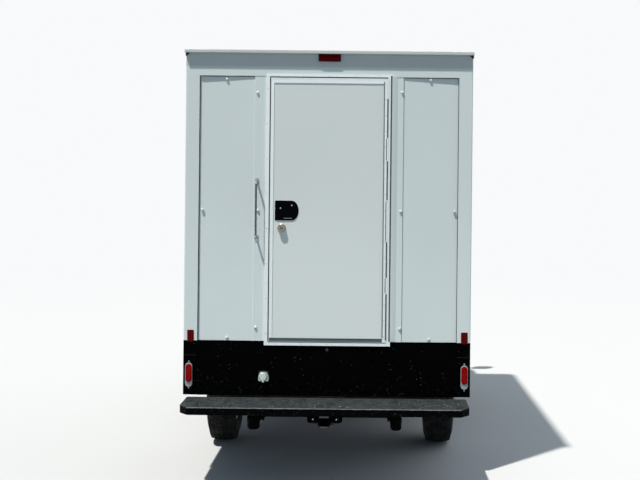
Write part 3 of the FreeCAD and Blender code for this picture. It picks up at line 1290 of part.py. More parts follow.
def cab_form(thickness):
    """The cab's outer form, moved inwards by thickness everywhere but at the open bottom."""
    points, radii = inset(cab_profile(), thickness)
    wire = rounded_wire(points, radii, lambda y, z: V(0, y, z))
    axis_place, up = V(0, PLAN_AXIS_Y, 0), V(0, 0, 1)
    profile = Part.Face(wire)
    profile.rotate(axis_place, up, -FORM_SWEEP / 2)
    body = profile.revolve(axis_place, up, FORM_SWEEP)
    points, radii = inset(cab_plan(), thickness)
    body = body.common(prism_z(points, CAB_BOTTOM_Z - 10, CAB_TOP_Z + 60, radii))
    points, radii = inset(cab_section(), thickness)
    side = prism_y(points, CAB_BACK_Y - 10, COWL_Y, radii)
    points, radii = inset(lower_section(), thickness)
    front = prism_y(points, COWL_Y, FRONT_Y + 50, radii)
    points, radii = inset(front_section(), thickness)
    wire = rounded_wire(points, radii, lambda x, z: V(x, COWL_Y, z))
    slope = (NOSE_TOP_Z - COWL_Z) / (NOSE_Y - NOSE_TOP_SETBACK - COWL_Y)
    length = FRONT_Y + 50 - COWL_Y
    sheared = Part.Face(wire).extrude(V(0, length, slope * length))
    front = front.common(sheared)
    return body.common(side.fuse(front))


def door_outline(gap):
    """Door's side outline in (y, z), grown by gap."""
    points = [
        (DOOR_REAR_Y, DOOR_BOTTOM_Z), (DOOR_FRONT_Y, DOOR_BOTTOM_Z), (DOOR_FRONT_Y, DOOR_BELT_Z - 40),
        (DOOR_FRONT_Y - 60, DOOR_BELT_Z), (DOOR_HEAD_Y, DOOR_TOP_Z), (DOOR_REAR_Y, DOOR_TOP_Z),
    ]
    gaps = [-gap, -gap * 1.6, -gap, -gap, -gap, -gap * 3.2]
    return inset_points(points, gaps), [50, 40, 30, 30, 80, 60]


def window_outline(gap=0.0):
    """Side window's outline in (y, z), drawn in by gap."""
    frame = WINDOW_FRAME
    points = [
        (DOOR_REAR_Y + frame, WINDOW_SILL_Z), (DOOR_FRONT_Y - 155, WINDOW_SILL_Z),
        (DOOR_HEAD_Y - 12, DOOR_TOP_Z - frame), (DOOR_REAR_Y + frame, DOOR_TOP_Z - frame),
    ]
    return inset_points(points, [gap] * 4), [40 - gap, 34 - gap, 60 - gap, 50 - gap]


def screen_outline(gap=0.0):
    """Windscreen's outline seen from the front in (x, z), drawn in by gap."""
    points = [
        (-SCREEN_BASE_HALF, SCREEN_BASE_Z), (SCREEN_BASE_HALF, SCREEN_BASE_Z),
        (SCREEN_HEAD_HALF, SCREEN_HEAD_Z), (-SCREEN_HEAD_HALF, SCREEN_HEAD_Z),
    ]
    return inset_points(points, [gap] * 4), [60 - gap, 60 - gap, 80 - gap, 80 - gap]


def half_space(side, low=0.0):
    """Everything on one side of the truck beyond low."""
    a, b = side * low, side * 1400
    return box(min(a, b), max(a, b), -4000, 4000, -100, 3500)


def make_cab_shell(outer, inner):
    """Cab body: roof, pillars, cowl and sills, without doors and windscreen."""
    shell = outer.cut(inner)
    region = prism_x(
        [(CAB_BACK_Y - 20, CAB_BOTTOM_Z - 20), (DOOR_FRONT_Y + 1, CAB_BOTTOM_Z - 20),
         (DOOR_FRONT_Y + 1, FENDER_TOP_Z), (COWL_EDGE_Y, FENDER_TOP_Z),
         (COWL_EDGE_Y, CAB_TOP_Z + 60), (CAB_BACK_Y - 20, CAB_TOP_Z + 60)], -1400, 1400,
    )
    shell = shell.common(region)
    points, radii = door_outline(DOOR_GAP)
    shell = shell.cut(prism_x(points, -1400, 1400, radii))
    points, radii = screen_outline()
    shell = shell.cut(prism_y(points, SCREEN_TOP_Y - 330, FRONT_Y, radii))
    under = box(-FLOOR_HALF, FLOOR_HALF, CAB_BACK_Y - 30, COWL_EDGE_Y + 10,
                0, CAB_FLOOR_Z - CAB_FLOOR_THICKNESS)
    return fused(shell.cut(under), hood_hinge(-1)[0], hood_hinge(1)[0])


def make_door(side, outer, skin, inner):
    """A cab door with its window opening: outer skin and a smaller inner part."""
    points, radii = door_outline(0)
    plate = prism_x(points, -1400, 1400, radii)
    small = prism_x(inset_points(points, [DOOR_STEP] * 6), -1400, 1400, [max(r - 20, 10) for r in radii])
    solid = outer.cut(skin).common(plate).common(half_space(side, 500))
    frame = skin.cut(inner).common(small).common(half_space(side, 500))
    solid = solid.fuse(frame).removeSplitter()
    points, radii = window_outline()
    solid = solid.cut(prism_x(points, -1400, 1400, radii))
    eyes, bores = door_hinges(side)[1:]
    for eye, bore in zip(eyes, bores):
        solid = solid.fuse(eye.cut(bore))
    return solid.removeSplitter()


def make_door_glass(side, outer, inner):
    """Side window glass."""
    points, radii = window_outline(SEAT_GAP)
    return outer.cut(inner).common(prism_x(points, -1400, 1400, radii)).common(half_space(side, 500))


def make_windscreen(outer, inner):
    """The bowed windscreen."""
    points, radii = screen_outline(SEAT_GAP)
    return outer.cut(inner).common(prism_y(points, SCREEN_TOP_Y - 330, FRONT_Y, radii))


def make_fender(side, shell):
    """Front fender with its wheel arch and headlamp opening."""
    back, cowl = DOOR_FRONT_Y + PANEL_GAP, COWL_EDGE_Y + PANEL_GAP
    bumper_y, bumper_z = BUMPER_SIDE_Y - PANEL_GAP, BUMPER_TOP_Z + PANEL_GAP
    region = prism_x(
        [(back, CAB_BOTTOM_Z - 5), (bumper_y, CAB_BOTTOM_Z + 55), (bumper_y, bumper_z), (FRONT_Y, bumper_z),
         (FRONT_Y, FENDER_TOP_Z + 60), (cowl, FENDER_TOP_Z + 60), (cowl, FENDER_TOP_Z - SEAT_GAP),
         (back, FENDER_TOP_Z - SEAT_GAP)], -1400, 1400,
    )
    region = region.cut(rod(V(-1500, FRONT_AXLE_Y, TYRE_RADIUS), V(1, 0, 0), ARCH_RADIUS, 3000))
    solid = shell.common(region.common(half_space(side, HOOD_HALF + PANEL_GAP)))
    gap = SEAT_GAP
    x0, x1 = side * (HEADLAMP_INNER_X - gap), side * (HEADLAMP_OUTER_X + gap)
    hole = box(min(x0, x1), max(x0, x1), NOSE_Y - 260, FRONT_Y, HEADLAMP_BOTTOM_Z - gap, HEADLAMP_TOP_Z + gap)
    return fused(solid.cut(hole), *door_hinges(side)[0])


def barrel_hinge():
    """A hinge along X at the origin: fixed knuckles and pin towards -Y, moving eye towards +Y, its bore."""
    eye_half, knuckle = BARREL_EYE / 2, BARREL_EYE - BARREL_EYE_GAP
    low, high = -BARREL_RADIUS - BARREL_SEAT, -BARREL_RADIUS + BARREL_TAB_RISE
    axis = V(1, 0, 0)
    fixed = [rod(V(-3 * eye_half, 0, 0), axis, BARREL_PIN_RADIUS, 3 * BARREL_EYE)]
    for x in (-3 * eye_half, eye_half + BARREL_EYE_GAP):
        fixed.append(rod(V(x, 0, 0), axis, BARREL_RADIUS, knuckle))
        fixed.append(box(x, x + knuckle, -BARREL_TAB, 0, low, high))
    eye = rod(V(-eye_half, 0, 0), axis, BARREL_RADIUS, BARREL_EYE)
    tab = box(-eye_half, eye_half, 0, BARREL_TAB, low, high)
    bore = rod(V(-eye_half, 0, 0), axis, BARREL_PIN_RADIUS + PIN_CLEARANCE, BARREL_EYE)
    return fused(*fixed), fused(eye, tab), bore


def hood_hinge(side):
    """A hood hinge in place: fixed knuckles, moving eye and the eye's bore."""
    place = V(side * HOOD_HINGE_X, HOOD_HINGE_Y, HOOD_HINGE_Z)
    return [shape.translated(place) for shape in barrel_hinge()]


def door_hinges(side):
    """A cab door's two hinges in place: fixed knuckles, moving eyes and the eyes' bores."""
    groups = ([], [], [])
    for z in DOOR_HINGE_HEIGHTS:
        for shape, group in zip(barrel_hinge(), groups):
            shape.rotate(V(0, 0, 0), V(0, 0, 1), 180)
            shape.rotate(V(0, 0, 0), V(0, 1, 0), 90 * side)
            group.append(shape.translated(V(side * DOOR_HINGE_X, DOOR_HINGE_Y, z)))
    return groups


def make_hood(shell):
    """Hood panel that curls over the nose, with its two hinge eyes."""
    region = prism_x(
        [(HOOD_BACK_Y, 900), (NOSE_Y - 200, 900), (NOSE_Y - 200, HOOD_FRONT_Z), (FRONT_Y, HOOD_FRONT_Z),
         (FRONT_Y, COWL_Z + 60), (HOOD_BACK_Y, COWL_Z + 60)], -HOOD_HALF, HOOD_HALF,
    )
    panel = shell.common(region)
    for side in (-1, 1):
        eye, bore = hood_hinge(side)[1:]
        panel = panel.fuse(eye.cut(bore))
    return panel.removeSplitter()


def make_grille(outer, inner):
    """Grille surround with level bars and an upright."""
    half = HOOD_HALF + PANEL_GAP - SEAT_GAP
    low, high = GRILLE_BOTTOM_Z, HOOD_FRONT_Z - GRILLE_HOOD_GAP
    slab = outer.cut(inner)
    ring = [(-half, low), (half, low), (half, high), (-half, high)]
    frame = prism_y(ring, NOSE_Y - 250, FRONT_Y, 10)
    hole = prism_y(inset_points(ring, [GRILLE_FRAME] * 4), NOSE_Y - 250, FRONT_Y, 14)
    bars = []
    pitch = (high - low - 2 * GRILLE_FRAME) / (GRILLE_BARS + 1)
    for i in range(GRILLE_BARS):
        z = low + GRILLE_FRAME + (i + 1) * pitch - GRILLE_BAR_HEIGHT / 2
        bars.append(box(-half + 5, half - 5, NOSE_Y - 250, FRONT_Y, z, z + GRILLE_BAR_HEIGHT))
    upright = box(-9, 9, NOSE_Y - 250, FRONT_Y, low + 5, high - 5)
    mask = frame.cut(hole).fuse(bars + [upright])
    return slab.common(mask)


def make_headlamp(side, outer, inner):
    """A square headlamp that wraps round the corner a little."""
    x0, x1 = sorted((side * HEADLAMP_INNER_X, side * HEADLAMP_OUTER_X))
    return outer.cut(inner).common(box(x0, x1, NOSE_Y - 260, FRONT_Y, HEADLAMP_BOTTOM_Z, HEADLAMP_TOP_Z))


def make_bumper():
    """Pressed steel front bumper, bowed in plan, open behind, with its two arms to the rails."""
    half = CAB_HALF_WIDTH - 22
    corner = half - 190
    outline = [
        (-half, BUMPER_SIDE_Y), (half, BUMPER_SIDE_Y), (half, FRONT_Y - 190), (corner, FRONT_Y - 20),
        (corner, FRONT_Y + 200), (-corner, FRONT_Y + 200), (-corner, FRONT_Y - 20), (-half, FRONT_Y - 190),
    ]

    def form(thickness, low, high):
        moved = inset_points(outline, [-40 if thickness else 0, thickness, thickness, thickness,
                                       0, thickness, thickness, thickness])
        radii = [0, 0, 120 - thickness, 0, 0, 0, 0, 120 - thickness]
        bow = rod(V(0, FRONT_Y - BUMPER_BOW, low), V(0, 0, 1), BUMPER_BOW - thickness, high - low)
        return prism_z(moved, low, high, radii).common(bow)

    solid = form(0, BUMPER_BOTTOM_Z, BUMPER_TOP_Z)
    solid = solid.cut(form(BUMPER_WALL, BUMPER_BOTTOM_Z + BUMPER_WALL, BUMPER_TOP_Z - BUMPER_WALL))
    solid = solid.cut(form(BUMPER_RETURN, BUMPER_BOTTOM_Z - 1, BUMPER_TOP_Z + 1))
    rail = FRAME_WIDTH / 2
    arm = box(rail, rail + 8, RAIL_FRONT_Y - 60, FRONT_Y - BUMPER_ARM_SETBACK,
              FRAME_TOP_FRONT - 120, FRAME_TOP_FRONT - 20)
    return fused(solid, arm, mirrored(arm))


def make_radiator():
    """Radiator slab behind the grille."""
    return box(-RADIATOR_HALF, RADIATOR_HALF, RADIATOR_Y, RADIATOR_Y + RADIATOR_THICKNESS,
               FRAME_TOP_FRONT - 35, RADIATOR_TOP_Z)


def make_cab_floor(inner):
    """Floor and firewall of the cab, on four mounts."""
    low, high = CAB_FLOOR_Z - CAB_FLOOR_THICKNESS, CAB_FLOOR_Z
    floor = box(-1200, 1200, CAB_BACK_Y, FIREWALL_Y + 5, low, high)
    wall = box(-1200, 1200, FIREWALL_Y, FIREWALL_Y + FIREWALL_THICKNESS, low, FIREWALL_TOP_Z)
    sides = box(-FLOOR_HALF, FLOOR_HALF, CAB_BACK_Y - 1, FRONT_Y, 0, ROOF_Z)
    solid = fused(floor, wall).common(inner).common(sides)
    mounts = [
        rod(V(side * CAB_MOUNT_X, y, FRAME_TOP_FRONT), V(0, 0, 1), 30, low - FRAME_TOP_FRONT + 1)
        for side in (-1, 1) for y in (CAB_BACK_Y + 150, FIREWALL_Y - 150)
    ]
    return fused(solid, *mounts)


def make_dashboard(inner):
    """Dashboard with a cowl over the gauges and a shelf up to the windscreen's foot."""
    low, top, y1 = DASH_BOTTOM_Z, DASH_TOP_Z, FIREWALL_Y
    face = y1 - DASH_DEPTH
    outline = [(face + 50, low), (y1, low), (y1, top), (face + 20, top), (face, top - 60)]
    board = prism_x(outline, -DASH_HALF, DASH_HALF, [30, 0, 0, 30, 20])
    visor = [(face - 35, top - 90), (y1 - 60, top - 60), (y1 - 60, top + 20), (face - 20, top + 45)]
    hood = prism_x(visor, -SEAT_X - DASH_HOOD_HALF, -SEAT_X + DASH_HOOD_HALF, [10, 0, 20, 25])
    shelf = box(-DASH_HALF, DASH_HALF, y1 - 10, COWL_Y, FIREWALL_TOP_Z, DASH_TOP_Z)
    return fused(board, hood, shelf.common(inner))


def make_steering_wheel(dashboard):
    """Steering wheel and column, as far as the dashboard."""
    tilt = math.radians(WHEEL_TILT)
    axis = V(0, -math.cos(tilt), math.sin(tilt))
    centre = V(-SEAT_X, STEERING_WHEEL_Y, STEERING_WHEEL_Z)
    ring = Part.makeTorus(WHEEL_RIM_RADIUS, WHEEL_TUBE_RADIUS, centre, axis)
    hub = rod(centre - axis * 50, axis, 48, 40)
    column = rod(centre - axis * 20, axis * -1, 26, 230)
    across = V(1, 0, 0)
    up = axis.cross(across)
    spokes = []
    for angle in (-18, 198, 270):
        a = math.radians(angle)
        direction = across * math.cos(a) + up * math.sin(a)
        spokes.append(rod(centre - axis * 24 + direction * 30, direction * WHEEL_RIM_RADIUS + axis * 22,
                          11, WHEEL_RIM_RADIUS - 32))
    return fused(ring, hub, column, *spokes).cut(dashboard)


def make_seat(side):
    """A cab seat: base, cushion, back and head rest."""
    x = side * SEAT_X
    half = SEAT_WIDTH / 2
    floor = CAB_FLOOR_Z
    y0 = SEAT_FRONT_Y - SEAT_DEPTH
    base = box(x - half + 60, x + half - 60, y0 + 40, SEAT_FRONT_Y - 80, floor, floor + SEAT_BASE_HEIGHT + 2)
    top = floor + SEAT_BASE_HEIGHT
    cushion = prism_x(
        [(y0, top), (SEAT_FRONT_Y, top), (SEAT_FRONT_Y, top + SEAT_CUSHION + 10),
         (y0, top + SEAT_CUSHION - 20)],
        x - half, x + half, [20, 50, 50, 20],
    )
    lean = 70.0
    low, high = top + 60, top + 60 + SEAT_BACK_HEIGHT
    head_y = y0 - lean + 30
    back = prism_x(
        [(y0 + 10, low), (y0 + SEAT_BACK_THICKNESS + 20, low), (head_y + SEAT_BACK_THICKNESS, high),
         (head_y, high)],
        x - half + 10, x + half - 10, [20, 30, 50, 30],
    )
    rest_z = top + 60 + SEAT_BACK_HEIGHT
    rest = prism_x(
        [(y0 - lean + 34, rest_z - 10), (y0 - lean + SEAT_BACK_THICKNESS + 16, rest_z - 10),
         (y0 - lean + SEAT_BACK_THICKNESS + 6, rest_z + 150), (y0 - lean + 36, rest_z + 150)],
        x - 130, x + 130, [10, 20, 40, 30],
    )
    return fused(base, cushion, back, rest)


def make_mirror(side, cab):
    """Door mirror on two short arms from the front corner of the window frame."""
    base_y = DOOR_FRONT_Y - 148
    arms = []
    for z in (MIRROR_Z - 108, MIRROR_Z - 64):
        low, high = sorted((side * MIRROR_FOOT_X, side * (MIRROR_INNER_X + 30)))
        near, far = base_y - MIRROR_ARM_HALF, base_y + MIRROR_ARM_HALF
        arms.append(prism_z([(low, near), (high, near), (high, far), (low, far)], z - 10, z + 10, 6))
    low, high = sorted((side * MIRROR_INNER_X, side * (MIRROR_INNER_X + MIRROR_WIDTH)))
    head = prism_z([(low, base_y - MIRROR_DEPTH / 2), (high, base_y - MIRROR_DEPTH / 2),
                    (high, base_y + MIRROR_DEPTH / 2), (low, base_y + MIRROR_DEPTH / 2)],
                   MIRROR_Z - MIRROR_HEIGHT / 2, MIRROR_Z + MIRROR_HEIGHT / 2, 26)
    face = prism_y([(low, MIRROR_Z - MIRROR_HEIGHT / 2), (high, MIRROR_Z - MIRROR_HEIGHT / 2),
                    (high, MIRROR_Z + MIRROR_HEIGHT / 2), (low, MIRROR_Z + MIRROR_HEIGHT / 2)],
                   base_y - MIRROR_DEPTH, base_y + MIRROR_DEPTH, 34)
    return fused(head.common(face), *arms).cut(cab)


def make_liners(inner):
    """Inner wheel arches over the front wheels, out to the fenders' skin."""
    centre = V(LINER_INNER_X, FRONT_AXLE_Y, TYRE_RADIUS)
    width = LINER_OUTER_X - LINER_INNER_X
    outer = rod(centre, V(1, 0, 0), ARCH_RADIUS + 12, width)
    hollow = rod(centre + V(LINER_WALL, 0, 0), V(1, 0, 0), ARCH_RADIUS + 12 - LINER_WALL, width)
    reach = ARCH_RADIUS + 20
    window = box(LINER_INNER_X, LINER_OUTER_X, FRONT_AXLE_Y - reach, FRONT_AXLE_Y + reach,
                 LINER_BOTTOM_Z, TYRE_RADIUS + reach)
    return pair(outer.cut(hollow).common(window).common(inner))


def both(make, *forms):
    """The left and right pieces of one kind, which don't touch."""
    return Part.makeCompound([make(side, *forms) for side in (-1, 1)])


def save_running_gear():
    """Wheels, axles, springs, steering, frame and driveline."""
    for side, name in ((-1, "left"), (1, "right")):
        front_x, rear_x = side * FRONT_TRACK / 2, side * REAR_TRACK / 2
        save("tyre_front_" + name, make_tyre(front_x, FRONT_AXLE_Y))
        save("tyre_rear_" + name, make_tyre(rear_x, REAR_AXLE_Y))
        save("rim_front_" + name, make_rim(front_x, FRONT_AXLE_Y, side))
        save("rim_rear_" + name, make_rim(rear_x, REAR_AXLE_Y, side))
        save("knuckle_" + name, make_knuckle(side))
    save("springs_front", both(make_spring, True))
    save("springs_rear", both(make_spring, False))
    save("tie_rod", make_tie_rod())
    save("front_axle", make_front_axle())
    save("rear_axle", make_rear_axle())
    save("frame_rails", make_rails())
    save("crossmembers", make_crossmembers())
    save("engine", make_engine())
    save("driveshaft", make_driveshaft())
    save("fuel_tank", make_fuel_tank())
    save("exhaust", make_exhaust())
    save("radiator", make_radiator())
    save("step_bumper", make_step())
    save("hitch_brackets", pair(make_bracket()))
    save("hitch", make_hitch())


def save_box():
    """The box body with everything on its rear face."""
    save("box_floor", make_floor())
    save("floor_sills", make_sills())
    save("floor_runners", make_runners())
    save("box_walls", both(make_wall))
    save("box_front_wall", make_front_wall())
    save("box_roof", make_roof())
    save("box_skirts", both(make_skirt))
    save("rear_frame", make_rear_frame())
    save("rear_panels", both(make_rear_panel))
    save("rear_apron", Part.makeCompound([make_apron(), make_corner(-1), make_corner(1)]))
    save("door_jamb", make_jamb())
    save("rear_door", make_leaf())
    save("rear_door_hinge", make_leaf_hinge())
    save("rear_door_latch", make_latch())
    save("rear_lamps", Part.makeCompound([make_tail_lamp(-1), make_tail_lamp(1), make_stop_lamp()]))
    save("grab_handle", make_grab_handle())
    save("trailer_socket", make_trailer_socket())


def save_cab():
    """The cab, its panels, glass and inside."""
    outer, inner = cab_form(0), cab_form(SHELL_THICKNESS)
    fender_inner = cab_form(FENDER_THICKNESS)
    save("cab_shell", make_cab_shell(outer, inner))
    door_skin, door_inner = cab_form(DOOR_SKIN), cab_form(DOOR_THICKNESS)
    glass_out, glass_in = cab_form(GLASS_INSET), cab_form(GLASS_INSET + GLASS_THICKNESS)
    for side, name in ((-1, "left"), (1, "right")):
        save("cab_door_" + name, make_door(side, outer, door_skin, door_inner))
        save("door_glass_" + name, make_door_glass(side, glass_out, glass_in))
        save("mirror_" + name, make_mirror(side, outer))
    save("windscreen", make_windscreen(glass_out, glass_in))
    save("fenders", both(make_fender, outer.cut(fender_inner)))
    save("wheel_liners", make_liners(fender_inner))
    save("hood", make_hood(outer.cut(cab_form(HOOD_THICKNESS))))
    save("grille", make_grille(cab_form(6), cab_form(GRILLE_DEPTH)))
    save("headlamps", both(make_headlamp, cab_form(3), cab_form(HEADLAMP_DEPTH)))
    save("front_bumper", make_bumper())
    save("cab_floor", make_cab_floor(inner))
    dashboard = make_dashboard(inner)
    save("dashboard", dashboard)
    save("steering_wheel", make_steering_wheel(dashboard))
    save("seats", both(make_seat))


def main():
    os.makedirs("parts", exist_ok=True)
    save_running_gear()
    save_box()
    save_cab()


main()
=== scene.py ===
"""Looks of the box truck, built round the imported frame, in metres."""
import math

import bmesh
import bpy
from mathutils import Matrix, Vector
from mathutils.bvhtree import BVHTree


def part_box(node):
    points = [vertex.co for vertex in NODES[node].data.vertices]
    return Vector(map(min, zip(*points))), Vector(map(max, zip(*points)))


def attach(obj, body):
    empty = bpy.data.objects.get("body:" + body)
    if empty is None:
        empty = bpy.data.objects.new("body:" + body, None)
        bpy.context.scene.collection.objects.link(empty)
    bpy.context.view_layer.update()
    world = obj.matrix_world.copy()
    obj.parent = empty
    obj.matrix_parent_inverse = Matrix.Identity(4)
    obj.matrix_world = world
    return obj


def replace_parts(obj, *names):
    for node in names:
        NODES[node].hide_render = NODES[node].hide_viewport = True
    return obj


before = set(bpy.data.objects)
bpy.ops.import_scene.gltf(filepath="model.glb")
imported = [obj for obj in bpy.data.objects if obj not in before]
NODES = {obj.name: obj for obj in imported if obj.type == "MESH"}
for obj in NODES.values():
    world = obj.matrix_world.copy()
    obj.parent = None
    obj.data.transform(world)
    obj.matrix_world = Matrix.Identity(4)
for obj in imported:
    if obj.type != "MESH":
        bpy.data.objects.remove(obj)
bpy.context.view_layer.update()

ENDS = ("front", "rear")
SIDES = (("left", -1), ("right", 1))
X, Y, Z = Vector((1, 0, 0)), Vector((0, 1, 0)), Vector((0, 0, 1))

REAR_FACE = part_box("rear_frame")[0].y
SIDE_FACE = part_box("box_walls")[1].x
STEP_LO, STEP_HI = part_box("step_bumper")
PAINT_LINE = 0.946
FRONT_AXLE_Y, REAR_AXLE_Y = (sum(corner.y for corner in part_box("tyre_%s_left" % end)) / 2 for end in ENDS)
TYRE_RADIUS = (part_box("tyre_front_left")[1].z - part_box("tyre_front_left")[0].z) / 2
SOCKET_X, SOCKET_Z = (sum(corner[i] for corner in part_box("trailer_socket")) / 2 for i in (0, 2))


# Materials

class Tree:
    """The nodes of a material or of the world."""

    def __init__(self, tree):
        self.nodes, self.links = tree.nodes, tree.links

    def link(self, value, socket):
        if isinstance(value, (int, float)):
            socket.default_value = value
        elif isinstance(value, tuple):
            socket.default_value = (*value, 1) if socket.type == "RGBA" else value
        else:
            self.links.new(value, socket)

    def node(self, kind, inputs, **settings):
        """A new node with its settings and with what goes into its sockets."""
        node = self.nodes.new("ShaderNode" + kind)
        for key, value in settings.items():
            setattr(node, key, value)
        for socket, value in inputs.items():
            self.link(value, node.inputs[socket])
        return node

    def math(self, kind, a, b):
        return self.node("Math", {0: a, 1: b}, operation=kind).outputs[0]

    def times(self, product, *others):
        for value in others:
            product = self.math("MULTIPLY", product, value)
        return product

    def spread(self, value, low, high, to_low=0.0, to_high=1.0, kind="SMOOTHSTEP"):
        """A value between two limits, carried over to two others."""
        sockets = {"Value": value, "From Min": low, "From Max": high, "To Min": to_low, "To Max": to_high}
        return self.node("MapRange", sockets, interpolation_type=kind).outputs["Result"]

    def blend(self, amount, a, b):
        """A shader that goes from one to another."""
        return self.node("MixShader", {0: amount, 1: a.outputs[0], 2: b.outputs[0]})

    def seen_rays(self):
        """1 for rays from the camera, mirrors and glass, 0 for the light that falls on things."""
        path = self.node("LightPath", {}).outputs
        total = path["Is Camera Ray"]
        for name in ("Is Glossy Ray", "Is Transmission Ray"):
            total = self.math("MAXIMUM", total, path[name])
        return total


class Finish(Tree):
    """A node material whose textures are measured in metres of the truck's own frame."""

    def __init__(self, name, colour, rough=0.5, metal=0.0, coat=0.0, specular=0.5):
        self.material = bpy.data.materials.new(name)
        self.material.use_nodes = True
        self.material.diffuse_color = (*colour, 1)
        super().__init__(self.material.node_tree)
        self.shader = self.nodes["Principled BSDF"]
        for socket, value in (("Base Color", (*colour, 1)), ("Roughness", rough), ("Metallic", metal),
                              ("Coat Weight", coat), ("Specular IOR Level", specular)):
            self.set(socket, value)
        self.colour = self.nodes.new("ShaderNodeRGB").outputs[0]
        self.colour.default_value = (*colour, 1)
        self.rough = rough
        self.place = self.node("TexCoord", {}).outputs["Object"]
        self.height = None

    def set(self, socket, value):
        self.shader.inputs[socket].default_value = value

    def stretched(self, scale, turn=(0, 0, 0)):
        return self.node("Mapping", {"Scale": scale, "Rotation": turn, "Vector": self.place}).outputs[0]

    def noise(self, scale, detail=4.0, rough=0.55, stretch=None, distort=0.0):
        place = self.stretched(stretch) if stretch else self.place
        sockets = {"Scale": scale, "Detail": detail, "Roughness": rough, "Distortion": distort,
                   "Vector": place}
        return self.node("TexNoise", sockets).outputs["Fac"]

    def patches(self, scale, detail, low, high, *to, **noise):
        """Noise whose low and high levels become 0 and 1."""
        return self.spread(self.noise(scale, detail, **noise), low, high, *to)

    def cells(self, scale, feature="F1"):
        return self.node("TexVoronoi", {"Scale": scale, "Vector": self.place},
                         feature=feature).outputs["Distance"]

    def wave(self, scale, axis="X", turn=(0, 0, 0)):
        sockets = {"Scale": scale, "Distortion": 0.0, "Vector": self.stretched((1, 1, 1), turn)}
        return self.node("TexWave", sockets, bands_direction=axis).outputs["Fac"]

    def axis(self, name):
        return self.node("SeparateXYZ", {0: self.place}).outputs[name]

    def level(self, low, high, *to):
        """How far up the truck a point is, between two heights."""
        return self.spread(self.axis("Z"), low, high, *to)

    def facing_up(self):
        """How far the surface faces upwards, measured on the piece itself."""
        normal = self.node("TexCoord", {}).outputs["Normal"]
        return self.spread(self.node("SeparateXYZ", {0: normal}).outputs["Z"], 0.45, 0.9)

    def tint(self, colour, *amounts):
        """Lays a colour over what is there, by amounts that vary over the surface."""
        sockets = {"Factor": self.times(*amounts), "A": self.colour, "B": colour}
        self.colour = self.node("Mix", sockets, data_type="RGBA").outputs["Result"]
        self.links.new(self.colour, self.shader.inputs["Base Color"])

    def dull(self, amount, rough):
        """Moves the roughness towards a value, by an amount that varies over the surface."""
        self.rough = self.node("Mix", {0: amount, 2: self.rough, 3: rough}).outputs[0]
        self.links.new(self.rough, self.shader.inputs["Roughness"])

    def bump(self, height, distance, strength=1.0):
        """Adds a relief of the given depth in metres."""
        sockets = {"Strength": strength, "Distance": distance, "Height": height}
        if self.height:
            sockets["Normal"] = self.height
        self.height = self.node("Bump", sockets).outputs[0]
        self.links.new(self.height, self.shader.inputs["Normal"])


def scaled(colour, by, plus=0.0):
    return tuple(c * by + plus for c in colour)


def painted(name, colour, rough=0.34, wave_depth=0.0, grime=0.35, bottom=0.5, top=1.0, shade=None, painted_light_low=0.0):
    """Sprayed paint: orange peel, faint patches, dust that gathers low down and in streaks, darker tops that
    are partly dust and partly painted shade, and optional painted light low down and a painted shade band up
    high.
    """
    f = Finish(name, colour, rough, coat=0.12, specular=0.4)
    f.set("Coat Roughness", 0.12)
    f.tint(scaled(colour, 0.9), f.patches(1.7, 5, 0.35, 0.75), 0.1)
    # Tops darker: partly dust, partly painted shade that keeps the sunlit tops from going white.
    f.tint((0.4, 0.405, 0.39), f.facing_up(), f.patches(2.3, 6, 0.25, 0.75, 0.62, 0.85, rough=0.6))
    streaks = f.patches(9, 6, 0.52, 0.8, rough=0.6, stretch=(1.0, 1.0, 0.06))
    dust = f.times(streaks, f.level(bottom, top, 1.0, 0.12), grime)
    f.tint((0.34, 0.31, 0.26), dust)
    specks = f.spread(f.cells(38), 0.045, 0.1, 1.0, 0.0)
    f.tint((0.2, 0.18, 0.15), specks, f.patches(3.1, 2, 0.56, 0.66), grime)
    f.dull(dust, 0.75)
    # Painted light: the colour is made lighter lower down, fading out by 2.3 m.
    if painted_light_low:
        f.tint(scaled(colour, painted_light_low), f.level(1.0, 2.3, 0.7, 0.0))
    # Painted shade: the colour darkens towards half from z0 up to z1 and above, standing in for the shadow
    # under the roof's rear edge.
    if shade:
        z0, z1, amount = shade
        f.tint(scaled(colour, 0.5), f.level(z0, z1), amount)
    if wave_depth:
        f.bump(f.noise(2.6, 2, 0.4, stretch=(1.0, 1.0, 0.55)), wave_depth)
    f.bump(f.noise(520, 2), 0.00012, 0.4)
    return f.material


def black_painted(name):
    """Satin black with pale dirt specks, chips and dried splashes near the bottom."""
    f = Finish(name, (0.0005, 0.0009, 0.0006), 0.42, specular=0.008)
    f.tint((0.014, 0.015, 0.014), f.patches(5.5, 6, 0.45, 0.85, rough=0.65), 0.06)
    splash = f.patches(46, 6, 0.57, 0.7, rough=0.7)
    f.tint((0.1, 0.1, 0.09), splash, f.level(0.56, 0.74, 1.0, 0.18), 0.22)
    chips = f.spread(f.cells(60), 0.05, 0.13, 1.0, 0.0)
    f.tint((0.3, 0.3, 0.29), chips, f.patches(17, 3, 0.56, 0.62), 0.8)
    f.dull(splash, 0.8)
    f.bump(f.noise(340, 3), 0.0002, 0.5)
    return f.material


def metal(name, colour, rough=0.3, brushed=None, stain=0.25, dark=(0.2, 0.19, 0.18)):
    """Bare metal with fine brush marks and stains."""
    f = Finish(name, colour, rough, metal=1.0)
    cloud = f.patches(14, 6, 0.42, 0.78, rough=0.6)
    f.tint(dark, cloud, stain)
    f.dull(cloud, min(rough + 0.25, 1.0))
    if brushed:
        f.bump(f.noise(60, 3, 0.7, stretch=brushed), 0.0001, 0.5)
    return f.material


